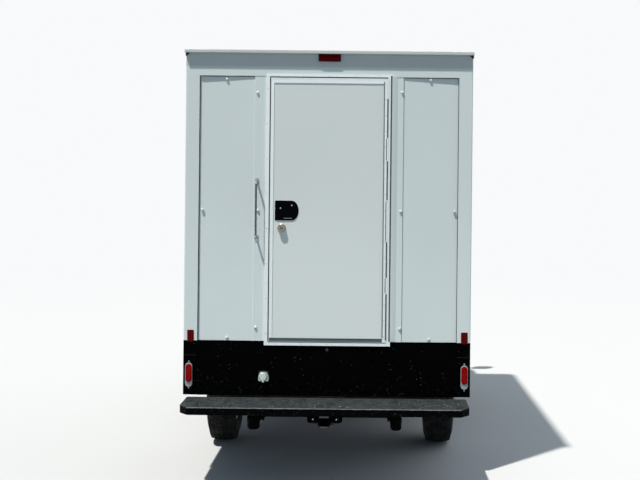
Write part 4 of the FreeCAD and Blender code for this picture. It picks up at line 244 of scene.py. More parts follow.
def rusty(name, colour, rough=0.7, amount=0.5, metallic=0.0):
    """Chassis paint or casting with road dirt and rust bloom."""
    f = Finish(name, colour, rough, metal=metallic, specular=0.2)
    bloom = f.patches(22, 8, 0.5, 0.68, rough=0.68)
    f.tint((0.13, 0.055, 0.026), bloom, amount)
    f.tint((0.15, 0.135, 0.115), f.patches(4.5, 6, 0.4, 0.75, rough=0.6), 0.45)
    f.dull(bloom, 0.92)
    f.bump(f.noise(150, 5, 0.7), 0.0006, 0.5)
    return f.material


def plastic(name, colour, rough=0.5, grain=0.00025, dust=0.25, specular=0.35):
    """Moulded plastic with a fine leather grain and dust in the open."""
    f = Finish(name, colour, rough, specular=specular)
    f.tint(scaled(colour, 0.6, 0.06), f.patches(7, 6, 0.4, 0.8, rough=0.6), dust)
    f.bump(f.cells(420, "SMOOTH_F1"), grain, 0.6)
    return f.material


def rubber(name, dusty=0.5, colour=(0.012, 0.012, 0.012)):
    f = Finish(name, colour, 0.78, specular=0.15)
    f.tint((0.085, 0.078, 0.068), f.patches(19, 7, 0.36, 0.75, rough=0.65), dusty)
    f.bump(f.noise(260, 4), 0.0003, 0.5)
    return f.material


def glass(name, colour, ior=1.45, film=0.1):
    """Clear or tinted glass with a faint uneven film of dust."""
    f = Finish(name, colour, 0.02)
    f.set("Transmission Weight", 1.0)
    f.set("IOR", ior)
    f.dull(f.patches(11, 6, 0.45, 0.8, rough=0.6), film)
    return f.material


def lens(name, colour, ribs=260, transmission=0.0, specular=0.2):
    """A coloured lamp lens with fine moulded ribs."""
    f = Finish(name, colour, 0.16, specular=specular)
    f.set("Transmission Weight", transmission)
    f.tint(scaled(colour, 0.45), f.patches(80, 3, 0.4, 0.7), 0.4)
    f.bump(f.wave(ribs), 0.0006, 0.6)
    return f.material


def woven(name, colour, pitch=0.0026):
    """Coarse woven seat cloth with two tones of yarn."""
    f = Finish(name, colour, 0.92, specular=0.2)
    f.set("Sheen Weight", 0.35)
    warp = f.wave(1 / pitch / 2, "X", (0, 0, 0.6))
    threads = f.times(warp, f.wave(1 / pitch / 2, "Y", (0.5, 0, 0.6)))
    f.tint(scaled(colour, 1.8), f.spread(threads, 0.2, 0.7), 0.5)
    f.tint(scaled(colour, 0.55), f.patches(6, 5, 0.45, 0.8), 0.35)
    f.bump(threads, 0.0006, 0.8)
    return f.material


def plywood(name, colour=(0.42, 0.29, 0.17), stretch=(1.0, 0.1, 1.0)):
    """Wood with long grain, scuffs and dirt."""
    f = Finish(name, colour, 0.66)
    grain = f.noise(42, 7, 0.65, stretch=stretch, distort=0.4)
    f.tint(scaled(colour, 0.5), f.spread(grain, 0.42, 0.68), 0.6)
    f.tint((0.16, 0.14, 0.12), f.patches(3, 7, 0.42, 0.75, rough=0.6), 0.5)
    f.bump(grain, 0.0006, 0.5)
    return f.material


def worn_plate(name):
    """Black step plate: paint scuffed to grey on top, and a bright line along the rear edge."""
    f = Finish(name, (0.0012, 0.0018, 0.0014), 0.5, specular=0.015)
    up = f.level(STEP_HI.z - 0.007, STEP_HI.z - 0.002)
    f.tint((0.018, 0.023, 0.025), up, 0.7)
    f.tint((0.062, 0.072, 0.075), f.patches(26, 8, 0.36, 0.66, rough=0.7, stretch=(0.6, 1.6, 1.0)), up, 0.75)
    f.tint((0.16, 0.17, 0.17), f.patches(120, 5, 0.58, 0.66, rough=0.7), up, 0.4)
    drops = f.spread(f.cells(30), 0.075, 0.115, 1.0, 0.0)
    f.tint((0.6, 0.62, 0.62), drops, f.patches(7, 3, 0.46, 0.54), up)
    f.tint((0.1, 0.1, 0.09), f.patches(70, 4, 0.61, 0.67), 0.22)
    # A bright line along the rear top edge.
    uneven = f.math("ADD", f.axis("Z"), f.times(f.noise(30, 4), 0.01))
    rear = f.spread(f.axis("Y"), STEP_LO.y + 0.003, STEP_LO.y + 0.008, 1.0, 0.0)
    f.tint((0.26, 0.275, 0.275), f.spread(uneven, STEP_HI.z + 0.0005, STEP_HI.z + 0.0045), rear)
    f.bump(f.noise(190, 5, 0.7), 0.0006, 0.7)
    return f.material


def socket_plate(name):
    """Zinc plate whose upper corners are caked with old paint and dirt."""
    f = Finish(name, (0.62, 0.74, 0.68), 0.45, metal=0.6)
    f.tint((0.3, 0.4, 0.35), f.patches(60, 6, 0.44, 0.66, rough=0.65), 0.6)
    across, up = (f.math("POWER", f.math("ADD", f.axis(axis), -at), 2.0)
                  for axis, at in (("X", SOCKET_X), ("Z", SOCKET_Z)))
    outside = f.spread(f.math("ADD", across, up), 0.03 ** 2, 0.0345 ** 2)
    uneven = f.math("ADD", f.axis("Z"), f.times(f.noise(90, 3), 0.01))
    f.tint((0.012, 0.014, 0.012), outside, f.spread(uneven, SOCKET_Z + 0.001, SOCKET_Z + 0.014))
    f.bump(f.noise(200, 4), 0.0003, 0.5)
    return f.material


WHITE = (0.705, 0.78, 0.775)
M = {
    "white": painted("white_paint", WHITE, bottom=0.9, top=1.6, grime=0.2),
    "cab": painted("cab_paint", WHITE, rough=0.26, bottom=0.45, top=1.0, grime=0.5),
    # Panel, leaf and header paints are lighter lower down by painted light.
    "panel": painted("panel_paint", WHITE, wave_depth=0.004, grime=0.12, bottom=0.95, top=1.3, painted_light_low=1.13),
    "leaf": painted("leaf_paint", (0.735, 0.79, 0.775), wave_depth=0.0035, grime=0.2, bottom=0.95, top=1.2,
                    painted_light_low=1.14),
    "edge": painted("edge_strip_paint", (0.56, 0.595, 0.585), grime=0.3),
    "sweep": rubber("door_sweep", 0.2, (0.13, 0.165, 0.165)),
    # Dark sealant for the hinge barrel, also used as painted shadow on the jamb's edge.
    "sealant": rubber("dark_sealant_and_painted_shadow", 0.15, (0.085, 0.105, 0.108)),
    # Grey bead for the hinge's edge, also used as painted shadow down the right crease.
    "bead": rubber("grey_sealant_and_painted_shadow", 0.15, (0.2, 0.235, 0.235)),
    # Dark sleeve colour for stretches of the hinge barrel.
    "bare": rubber("dark_barrel_sleeve", 0.2, (0.055, 0.062, 0.062)),
    # Header paint: painted shade above 2.872 m where the roof edge's shadow falls.
    "header": painted("header_paint_with_painted_shade", WHITE, bottom=0.9, top=1.6, grime=0.2, shade=(2.872, 2.895, 0.52),
                      painted_light_low=1.13),
    "worn": rusty("worn_steel", (0.15, 0.16, 0.16), 0.5, 0.15),
    # Dark seam colour, also used as painted shadow along the sheet tops and the right crease.
    "seam": rubber("paint_seam_and_painted_shadow", 0.1, (0.014, 0.016, 0.016)),
    "black": black_painted("black_paint"),
    "step": worn_plate("step_plate"),
    "alloy": metal("bare_alloy", (0.66, 0.73, 0.75), 0.36, brushed=(1, 1, 0.02), stain=0.14,
                   dark=(0.36, 0.4, 0.42)),
    "bright": metal("polished_steel", (0.34, 0.37, 0.39), 0.2, stain=0.4, dark=(0.1, 0.11, 0.12)),
    # Painted reflection: the nickel is darkened to stand in for dark surroundings reflected in it.
    "nickel_with_painted_dark_reflection": metal("nickel_with_painted_dark_reflection", (0.3, 0.29, 0.25), 0.3, stain=0.55, dark=(0.1, 0.095, 0.08)),
    # Painted reflection: a near-black base colour stands in for dark surroundings reflected in chrome.
    "handle": metal("chrome_with_painted_dark_reflection", (0.085, 0.105, 0.12), 0.22, stain=0.3, dark=(0.03, 0.035, 0.04)),
    "bumper": metal("bumper_chrome", (0.42, 0.43, 0.44), 0.2, stain=0.3),

    "socket": socket_plate("socket_plate"),
    "screw": metal("zinc_screw", (0.52, 0.55, 0.55), 0.35, stain=0.4, dark=(0.2, 0.21, 0.21)),
    "bolt": painted("painted_bolt", WHITE, grime=0.3, bottom=2.9, top=3.0),
    "frame": rusty("chassis_black", (0.022, 0.021, 0.02), 0.62, 0.45),
    "cast": rusty("cast_iron", (0.07, 0.062, 0.055), 0.78, 0.75, 0.4),
    "spring": rusty("spring_steel", (0.075, 0.066, 0.058), 0.72, 0.65, 0.5),
    "engine": rusty("engine_casting", (0.2, 0.195, 0.19), 0.6, 0.3, 0.6),
    "tank": metal("tank_steel", (0.3, 0.3, 0.3), 0.5, stain=0.6, dark=(0.1, 0.085, 0.07)),
    "pipe": metal("exhaust_steel", (0.36, 0.31, 0.26), 0.5, stain=0.8, dark=(0.15, 0.075, 0.04)),
    "rim": painted("rim_paint", (0.6, 0.61, 0.62), 0.36, grime=0.8, bottom=0.2, top=0.9),
    "rubber": rubber("tyre_rubber", 0.65),
    # Seal rubber, also used as painted shade in the roof channel's ends.
    "seal": rubber("seal_rubber_and_painted_shade", 0.12),
    "plastic": plastic("black_plastic", (0.022, 0.022, 0.024), 0.5),
    "gloss": plastic("gloss_plastic", (0.0014, 0.0018, 0.003), 0.24, grain=0.00004, dust=0.004,
                     specular=0.015),
    "dash": plastic("dash_plastic", (0.075, 0.078, 0.083), 0.62, grain=0.0005, dust=0.35),
    "trim": plastic("trim_plastic", (0.15, 0.155, 0.16), 0.6, grain=0.0004, dust=0.3),
    "cloth": woven("seat_cloth", (0.065, 0.07, 0.08)),
    "deck": plywood("deck_plywood"),
    "lining": plywood("lining_plywood", (0.5, 0.38, 0.24), stretch=(1.0, 1.0, 0.12)),
    "glass": glass("window_glass", (0.8, 0.88, 0.85)),
    "lamp_glass": glass("lamp_glass", (0.95, 0.97, 0.98), ior=1.12, film=0.15),
    "mirror": metal("mirror_silver", (0.86, 0.88, 0.89), 0.02, stain=0.05),
    "red": lens("lens_red", (0.34, 0.0014, 0.0018), specular=0.05),
    "stop": lens("lens_dark_red", (0.105, 0.0008, 0.0022), specular=0.02),
    "tape": lens("reflex_red", (0.12, 0.0012, 0.0015), ribs=900, specular=0.05),
    "amber": lens("lens_amber", (0.62, 0.2, 0.01)),
    "clear": lens("lens_clear", (0.62, 0.66, 0.66), transmission=0.3),
    "dots": Finish("led_dots", (0.85, 0.62, 0.58), 0.3).material,
}


# Mesh building

def add_box(bm, lo, hi, place=None):
    """A box between two corners, moved by a matrix if one is given."""
    lo, hi = Vector(lo), Vector(hi)
    made = bmesh.ops.create_cube(bm, size=1.0)["verts"]
    grow = Matrix.Translation((lo + hi) / 2) @ Matrix.Diagonal((*(hi - lo), 1))
    bmesh.ops.transform(bm, matrix=(place or Matrix()) @ grow, verts=made)
    return made


def bridge(bm, *rings):
    """Faces between rings of vertices that follow each other."""
    for low, high in zip(rings, rings[1:]):
        for i in range(len(low)):
            j = (i + 1) % len(low)
            bm.faces.new((low[i], low[j], high[j], high[i]))


def circle(steps):
    return (2 * math.pi * i / steps for i in range(steps))


def add_lathe(bm, profile, origin, axis, steps=24):
    """A closed form turned about an axis: profile is a list of (radius, height)."""
    place = Matrix.Translation(origin) @ Vector(axis).to_track_quat("Z", "Y").to_matrix().to_4x4()
    rings = [[bm.verts.new(place @ Vector((radius * math.cos(a), radius * math.sin(a), height)))
              for a in (circle(steps) if radius > 1e-6 else (0,))] for radius, height in profile]
    for low, high in zip(rings, rings[1:]):
        for i in range(steps):
            corners = (low[i % len(low)], low[(i + 1) % len(low)], high[(i + 1) % len(high)],
                       high[i % len(high)])
            face = list(dict.fromkeys(corners))
            if len(face) > 2:
                bm.faces.new(face)


def add_dome(bm, base, normal, radius, height, steps=10):
    """A rivet or round bolt head standing on a surface."""
    levels = ((1, 0.25), (0.86, 0.7), (0.5, 0.95), (0, 1))
    add_lathe(bm, [(radius, -0.001), *((radius * r, height * h) for r, h in levels)], base, normal, steps)


def add_hex(bm, base, normal, radius, height):
    """A hexagon head with a washer under it."""
    add_lathe(bm, [(radius * 1.35, -0.001), (radius * 1.35, height * 0.22), (radius * 0.9, height * 0.24)],
              base, normal, 16)
    add_lathe(bm, [(radius, height * 0.2), (radius, height * 0.9), (radius * 0.8, height), (0, height)],
              base, normal, 6)


def add_tube(bm, points, radius, steps=10):
    """A round bar along points."""
    points = [Vector(p) for p in points]
    rings = []
    up = None
    for i, p in enumerate(points):
        ahead = points[min(i + 1, len(points) - 1)] - points[max(i - 1, 0)]
        ahead.normalize()
        if up is None:
            up = ahead.orthogonal().normalized()
        up = (up - ahead * up.dot(ahead)).normalized()
        across = ahead.cross(up)
        size = radius[i] if isinstance(radius, (list, tuple)) else radius
        rings.append([bm.verts.new(p + size * (math.cos(a) * up + math.sin(a) * across))
                      for a in circle(steps)])
    bridge(bm, *rings)
    bm.faces.new(reversed(rings[0]))
    bm.faces.new(rings[-1])


def add_prism(bm, outline, low, high, place=None):
    """A flat outline of (a, b) points raised from low to high along local Z."""
    bottom, top = ([bm.verts.new((place or Matrix()) @ Vector((a, b, z))) for a, b in outline]
                   for z in (low, high))
    bm.faces.new(reversed(bottom))
    bm.faces.new(top)
    bridge(bm, bottom, top)


def rounded(half_a, half_b, radius, steps=5, centre=(0.0, 0.0)):
    """A rectangle with round corners, anticlockwise."""
    outline = []
    for sa, sb, start in ((1, 1, 0), (-1, 1, 90), (-1, -1, 180), (1, -1, 270)):
        for i in range(steps + 1):
            a = math.radians(start + 90 * i / steps)
            outline.append((centre[0] + sa * (half_a - radius) + radius * math.cos(a),
                            centre[1] + sb * (half_b - radius) + radius * math.sin(a)))
    return outline


def arc(points, radius=0.02, steps=4):
    """Points of a path with its corners rounded."""
    points = [Vector(p) for p in points]
    path = [points[0]]
    for before, corner, after in zip(points, points[1:], points[2:]):
        cut = min(radius, (before - corner).length / 2, (after - corner).length / 2)
        start = corner + (before - corner).normalized() * cut
        end = corner + (after - corner).normalized() * cut
        for i in range(steps + 1):
            t = i / steps
            path.append(start * (1 - t) ** 2 + corner * 2 * t * (1 - t) + end * t ** 2)
    path.append(points[-1])
    return path


def rear_place(x, z, y=None):
    """A matrix whose local XY plane faces backwards (local x is right, y up, z out of the rear)."""
    turn = Matrix(((1, 0, 0, 0), (0, 0, -1, 0), (0, 1, 0, 0), (0, 0, 0, 1)))
    return Matrix.Translation((x, REAR_FACE if y is None else y, z)) @ turn


def side_place(sign, x, y=0, z=0):
    """A matrix whose local XY plane stands along a side (local x is ahead, y up, z the sign's way)."""
    return Matrix(((0, 0, sign, x), (1, 0, 0, y), (0, 1, 0, z), (0, 0, 0, 1)))


def finish_piece(name, bm, material, body="chassis", slot=None, smooth=0.0, bevel=0.0, materials=()):
    """Turns a bmesh into a piece that rides on a body."""
    bmesh.ops.recalc_face_normals(bm, faces=bm.faces)
    mesh = bpy.data.meshes.new(name)
    bm.to_mesh(mesh)
    bm.free()
    piece = bpy.data.objects.new(name, mesh)
    bpy.context.collection.objects.link(piece)
    for entry in (material, *materials):
        mesh.materials.append(M[entry])
    if bevel:
        modifier = piece.modifiers.new("edges", "BEVEL")
        modifier.width = bevel
        modifier.segments = 2
        modifier.limit_method = "ANGLE"
        modifier.angle_limit = math.radians(40)
    if smooth:
        for polygon in mesh.polygons:
            polygon.use_smooth = True
        mesh.set_sharp_from_angle(angle=math.radians(smooth))
    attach(piece, body)
    return piece


trees = {}


def hit(origin, direction, *names):
    """Where a ray first meets one of the named nodes: the point and the surface's normal."""
    best = None
    direction = Vector(direction)
    for name in names:
        if name not in trees:
            mesh = NODES[name].data
            trees[name] = BVHTree.FromPolygons([v.co for v in mesh.vertices],
                                               [p.vertices for p in mesh.polygons])
        point, normal, _, distance = trees[name].ray_cast(Vector(origin), direction)
        if point and (best is None or distance < best[2]):
            best = (point, normal if normal.dot(direction) < 0 else -normal, distance)
    return best[:2] if best else None


def sure_hit(origin, direction, *names):
    """A meeting that has to be there, looked for a hair aside too where the ray runs along an edge."""
    for aside in (0, 1e-4, -1e-4):
        found = hit(Vector(origin) + Vector((aside, aside, aside)), direction, *names)
        if found:
            return found
    raise ValueError("nothing met from %s" % (origin,))


def side_hit(sign, y, z, *names, find=hit):
    return find((sign * 2, y, z), -sign * X, *names)


def on_rear(x, z, *names):
    """The point on the rear of the truck at x, z."""
    found = hit((x, -4, z), Y, *names)
    return found[0] if found else Vector((x, REAR_FACE, z))


def dress(nodes, material, *others, choose=None):
    """Gives nodes a material each, with a rule for which polygons take the other one."""
    for node in nodes.split():
        mesh = NODES[node].data
        mesh.materials.clear()
        for entry in (material, *others):
            mesh.materials.append(M[entry])
        for polygon in mesh.polygons:
            polygon.material_index = bool(choose and choose(polygon.center, polygon.normal))


# The truck's own nodes

def dress_nodes():
    for material, nodes in (
        # The rear frame takes the header paint with its painted shade.
        ("header", "rear_frame"), ("cab", "fenders hood"), ("panel", "rear_panels"),
        ("bumper", "front_bumper"),
        ("black", "box_skirts rear_apron hitch hitch_brackets"),
        ("alloy", "door_jamb rear_door_hinge radiator"),
        ("socket", "trailer_socket"), ("frame", "frame_rails crossmembers floor_sills floor_runners"),
        ("cast", "front_axle rear_axle driveshaft tie_rod knuckle_left knuckle_right"), ("engine", "engine"),
        ("spring", "springs_front springs_rear"), ("tank", "fuel_tank"), ("pipe", "exhaust"),
        ("glass", "windscreen door_glass_left door_glass_right"), ("dash", "dashboard"),
        ("step", "step_bumper"),
        ("plastic", "grille wheel_liners cab_floor mirror_left mirror_right steering_wheel"),
        ("lamp_glass", "headlamps"),
        ("rubber", "tyre_front_left tyre_front_right tyre_rear_left tyre_rear_right"),
    ):
        dress(nodes, material)
    dress("box_walls", "white", "lining", choose=lambda p, n: n.x * p.x < -0.2 or abs(p.x) < SIDE_FACE - 0.02)
    dress("box_front_wall", "white", "lining", choose=lambda p, n: n.y < -0.5)
    dress("box_floor", "frame", "deck", choose=lambda p, n: n.z > 0.5)
    # The roof's rear face takes the header paint with its painted shade.
    dress("box_roof", "white", "header", choose=lambda p, n: n.y < -0.5)
    border = on_rear(0.0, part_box("rear_door")[1].z - 0.012, "rear_door").y + 0.001
    dress("rear_door", "leaf", "alloy", choose=lambda p, n: n.y < -0.5 and p.y < border)
    dress("rear_door_latch", "gloss", "nickel_with_painted_dark_reflection", choose=lambda p, n: p.z < 1.785)
    # The grab handle's bar takes the painted dark reflection; its ends within 45 mm take plain polished
    # steel.
    low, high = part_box("grab_handle")
    dress("grab_handle", "handle", "bright", choose=lambda p, n: min(p.z - low.z, high.z - p.z) < 0.045)
    seats = Vector((0, 0.95, 1.45))
    dress("cab_shell", "cab", "trim", choose=lambda p, n: n.dot((seats - p).normalized()) > 0.25)
    for side, sign in SIDES:
        dress("cab_door_" + side, "cab", "trim",
              choose=lambda p, n: n.x * sign < -0.3 or abs(p.x) < 0.93 and p.z < 1.27)
        for end in ENDS:
            rim = "rim_%s_%s" % (end, side)
            hub = sum(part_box(rim), Vector()) / 2
            dress(rim, "rim", "cast", choose=lambda p, n: (p.x - hub.x) * sign < 0.015
                  and (p - hub).yz.length < 0.17)


# Stage

BACKDROP = (0.94, 0.95, 0.96)
FLOOR_SEEN = (0.54, 0.55, 0.56)
FLOOR_BOUNCE = (0.195, 0.215, 0.235)
SKY_COLOUR = (0.72, 0.96, 1.22)
SKY_LOW = 0.37
SKY_HIGH = 0.15
GLOW_COLOUR = (0.96, 1.0, 1.03)
GLOW_LEVEL = 1.1
SUN_LEVEL = 1.5
SUN_RIGHTWARD = 1.0
SUN_DOWNWARD = 3.4


def make_stage():
    """A pale floor that fades into a white backdrop, and a soft sky brighter low down and in front."""
    floor = Finish("floor_pale", FLOOR_SEEN, 0.8, specular=0.1)
    floor.tint(scaled(FLOOR_SEEN, 0.94), floor.noise(0.9, 5), 0.08)
    reach = floor.node("VectorMath", {0: floor.place}, operation="LENGTH").outputs["Value"]
    far = floor.node("Emission", {"Color": BACKDROP})
    fade = floor.blend(floor.spread(reach, 4.5, 13.0), floor.shader, far)
    whole = floor.blend(floor.seen_rays(), floor.node("BsdfDiffuse", {"Color": FLOOR_BOUNCE}), fade)
    floor.links.new(whole.outputs[0], floor.nodes["Material Output"].inputs["Surface"])
    size = 60.0
    mesh = bpy.data.meshes.new("floor")
    corners = [(-size, -size, 0), (size, -size, 0), (size, size, 0), (-size, size, 0)]
    mesh.from_pydata(corners, [], [(0, 1, 2, 3)])
    mesh.materials.append(floor.material)
    ground = bpy.data.objects.new("floor", mesh)
    bpy.context.collection.objects.link(ground)

    world = bpy.data.worlds.new("studio")
    bpy.context.scene.world = world
    world.use_nodes = True
    sky = Tree(world.node_tree)
    direction = sky.node("TexCoord", {}).outputs["Generated"]
    soft = sky.node("AddShader", {})
    for i, (colour, aim, *levels) in enumerate((
            (SKY_COLOUR, (0, 0, 1), 0.0, 0.75, SKY_LOW, SKY_HIGH),
            (GLOW_COLOUR, (0.63, 0.76, 0.12), 0.15, 0.95, 0.0, GLOW_LEVEL))):
        dot = sky.node("VectorMath", {0: direction, 1: aim}, operation="DOT_PRODUCT").outputs["Value"]
        strength = sky.spread(dot, *levels, kind="LINEAR")
        sky.link(sky.node("Background", {"Color": colour, "Strength": strength}).outputs[0], soft.inputs[i])
    whole = sky.blend(sky.seen_rays(), soft, sky.node("Background", {"Color": BACKDROP}))
    sky.link(whole.outputs[0], sky.nodes["World Output"].inputs["Surface"])


def make_lights():
    """One high sun from behind on the left: a ledge of 1 mm shades 3.4 mm below and 1 mm to the right."""
    sun = bpy.data.lights.new("sun", "SUN")
    sun.energy = SUN_LEVEL * math.pi
    sun.angle = math.radians(1.6)
    sun.color = (1.0, 0.965, 0.895)
    lamp = bpy.data.objects.new("sun", sun)
    to_sun = Vector((-SUN_RIGHTWARD, -1.0, SUN_DOWNWARD))
    lamp.rotation_euler = to_sun.to_track_quat("Z", "Y").to_euler()
    bpy.context.collection.objects.link(lamp)


CAMERA_PLACE = (0.3, -9.51, 2.03)
CAMERA_LENS = 55.7
CAMERA_ROLL = 0.6
CAMERA_SHIFT = (-0.0796, -0.0803)


def make_camera():
    data = bpy.data.cameras.new("camera")
    data.lens = CAMERA_LENS
    data.sensor_width = 36
    data.shift_x, data.shift_y = CAMERA_SHIFT
    camera = bpy.data.objects.new("camera", data)
    level = Matrix.Translation(CAMERA_PLACE) @ Matrix.Rotation(math.radians(90), 4, "X")
    camera.matrix_world = level @ Matrix.Rotation(math.radians(CAMERA_ROLL), 4, "Z")
    bpy.context.collection.objects.link(camera)
    bpy.context.scene.camera = camera


# Rear of the body

PANEL_BOLTS = (
    (-0.724, 2.794), (-0.506, 2.7), (-0.889, 1.87), (-0.497, 1.867), (-0.708, 0.967), (-0.506, 1.041),
    (0.715, 2.799), (0.516, 2.711), (0.511, 1.87), (0.512, 1.041), (0.892, 1.874), (0.72, 0.968),
)


def make_boxes(name, material, *corners, **settings):
    """A piece of plain boxes, each given by two corners in either order along x."""
    bm = bmesh.new()
    for (x0, *low), (x1, *high) in corners:
        add_box(bm, (min(x0, x1), *low), (max(x0, x1), *high))
    finish_piece(name, bm, material, **settings)


def add_domes(bm, spots, nodes, radius, height, steps=10):
    """Round heads on the rear of the named nodes, at x, z spots."""
    for x, z in spots:
        add_dome(bm, on_rear(x, z, *nodes.split()), -Y, radius, height, steps)


def make_panel_bolts():
    bm = bmesh.new()
    add_domes(bm, PANEL_BOLTS, "rear_panels rear_frame", 0.0105, 0.01, 16)
    finish_piece("panel_bolts", bm, "bolt", smooth=35)


PANEL_OUTER = 0.9165
PANEL_CREASE = 0.527
PANEL_INNER = 0.4455


SHEET_STEPS = 48
SHEET_THICK = 0.006


def add_sheet(bm, sign, z0, z1):
    """One sheet: flush beside the jamb, stepped at a crease, deeper towards the corner post."""
    creased = PANEL_CREASE + 0.002
    columns = [PANEL_INNER, PANEL_CREASE - 0.001, PANEL_CREASE, creased]
    columns += [creased + (PANEL_OUTER - creased) * (i + 1) / 14 for i in range(14)]

    def depth(x, z):
        if x <= PANEL_CREASE + 0.0005:
            return 0.002
        out = (x - PANEL_CREASE) / (PANEL_OUTER - PANEL_CREASE)
        bow = 0.0012 * math.sin(math.pi * out) * math.sin(math.pi * 3 * (z - z0) / (z1 - z0))
        return 0.0052 + 0.0078 * out + bow

    front, back = [], []
    for i in range(SHEET_STEPS + 1):
        z = z0 + (z1 - z0) * i / SHEET_STEPS
        for rows, thick in ((front, 0), (back, SHEET_THICK)):
            rows.append([bm.verts.new((sign * x, REAR_FACE + depth(x, z) + thick, z)) for x in columns])
    last = len(columns) - 1
    for f0, f1, b0, b1 in zip(front, front[1:], back, back[1:]):
        for j in range(last):
            bm.faces.new((f0[j], f0[j + 1], f1[j + 1], f1[j]))
            bm.faces.new((b0[j], b1[j], b1[j + 1], b0[j + 1]))
        bm.faces.new((f0[0], f1[0], b1[0], b0[0]))
        bm.faces.new((f0[last], b0[last], b1[last], f1[last]))
    for j in range(last):
        bm.faces.new((front[0][j], back[0][j], back[0][j + 1], front[0][j + 1]))
        bm.faces.new((front[-1][j], front[-1][j + 1], back[-1][j + 1], back[-1][j]))


def make_rear_panels():
    """The two sheets beside the door, the seams round them, painted shadow along the sheets' tops and down
    the right crease, and the sweep under the leaf.
    """
    low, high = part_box("rear_panels")
    bm = bmesh.new()
    for _, sign in SIDES:
        add_sheet(bm, sign, low.z + 0.0005, high.z - 0.0005)
    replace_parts(finish_piece("rear_sheets", bm, "panel", smooth=28), "rear_panels")
    make_boxes("corner_seams", "seam", *(
        ((sign * 0.966 - 0.042, REAR_FACE - 0.0009, 0.8406),
         (sign * 0.966 + 0.042, REAR_FACE + 0.001, 0.8434))
        for _, sign in SIDES))
    gaps = []
    for _, sign in SIDES:
        # Painted shadow: a dark strip along each sheet's top, under the header.
        gaps.append(((sign * (PANEL_CREASE + 0.001), REAR_FACE - 0.0004, high.z - 0.0052),
                     (sign * (PANEL_OUTER - 0.004), REAR_FACE + 0.006, high.z - 0.0012)))
        gaps.append(((sign * (PANEL_OUTER - 0.003), REAR_FACE + 0.003, low.z + 0.004),
                     (sign * (PANEL_OUTER - 0.0002), REAR_FACE + 0.015, high.z - 0.006)))
    # Painted shadow down the right sheet's crease: darker for the top 0.1 m, grey below.
    x0, x1, y0, y1 = PANEL_CREASE - 0.0026, PANEL_CREASE - 0.0002, REAR_FACE + 0.0012, REAR_FACE + 0.0026
    make_boxes("sheet_gaps_and_painted_shadows", "seam", *gaps, ((x0, y0, high.z - 0.1), (x1, y1, high.z - 0.005)))
    make_boxes("crease_painted_shadow", "bead", ((x0 + 0.0002, y0, low.z + 0.004), (x1, y1, high.z - 0.1)))
    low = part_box("rear_door")[0]
    face = on_rear(0.0, low.z + 0.012, "rear_door").y
    make_boxes("door_sweep", "sweep",
               ((low.x + 0.003, face - 0.0016, low.z + 0.0015), (0.3885, face + 0.001, low.z + 0.0245)),
               ((low.x + 0.003, face - 0.004, low.z + 0.0245), (0.3885, face + 0.001, low.z + 0.0275)),
               body="rear_door", bevel=0.0006)


def make_roof_trim():
    """The folded edge strip of the roof's rear rim, and dark wedges as painted shade in the open ends of its
    channel.
    """
    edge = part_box("box_roof")[0].y
    section = ((0.003, 0.0), (-0.004, 0.0), (-0.0075, -0.003), (-0.008, -0.02), (-0.0055, -0.0235),
               (0.003, -0.0235))
    bm = bmesh.new()
    rows = [[bm.verts.new((x, edge + y, z - 0.0005 + up)) for y, up in section]
            for x, z in ((-1.0195, 2.9985), (-0.861, 2.999), (0.861, 2.999), (1.0195, 2.9985))]
    bridge(bm, *rows)
    bm.faces.new(rows[0])
    bm.faces.new(reversed(rows[-1]))
    finish_piece("roof_edge_strip", bm, "edge", smooth=30)
    # Painted shade: dark wedges where the channel's open ends lie in shadow.
    bm = bmesh.new()
    for _, sign in SIDES:
        outline = [(-sign * 0.012, 0.019), (sign * 0.0125, 0.019), (sign * 0.0125, -0.003)]
        add_prism(bm, outline[::-sign], -0.001, 0.012, rear_place(sign * 1.002, 2.956))
    finish_piece("roof_channel_end_shade", bm, "seal")


def make_tape():
    """Red reflectors on the corner posts."""
    bm = bmesh.new()
    for x0, x1 in ((-0.987, -0.941), (0.947, 0.994)):
        x = (x0 + x1) / 2
        place = rear_place(x, 0.9785, on_rear(x, 0.99, "rear_frame", "rear_apron").y)
        add_prism(bm, rounded((x1 - x0) / 2, 0.041, 0.004, 2), -0.001, 0.0035, place)
    finish_piece("rear_reflectors", bm, "tape", bevel=0.0008)


def stadium(half_width, half_length, steps=12):
    return rounded(half_width, half_length, half_width - 0.0005, steps)


TAIL_LAMP_X, TAIL_LAMP_Z, TAIL_DIODE_PITCH = 0.972, 0.704, 0.0235
STOP_LAMP_Z, STOP_DIODE_PITCH = 2.9535, 0.0205


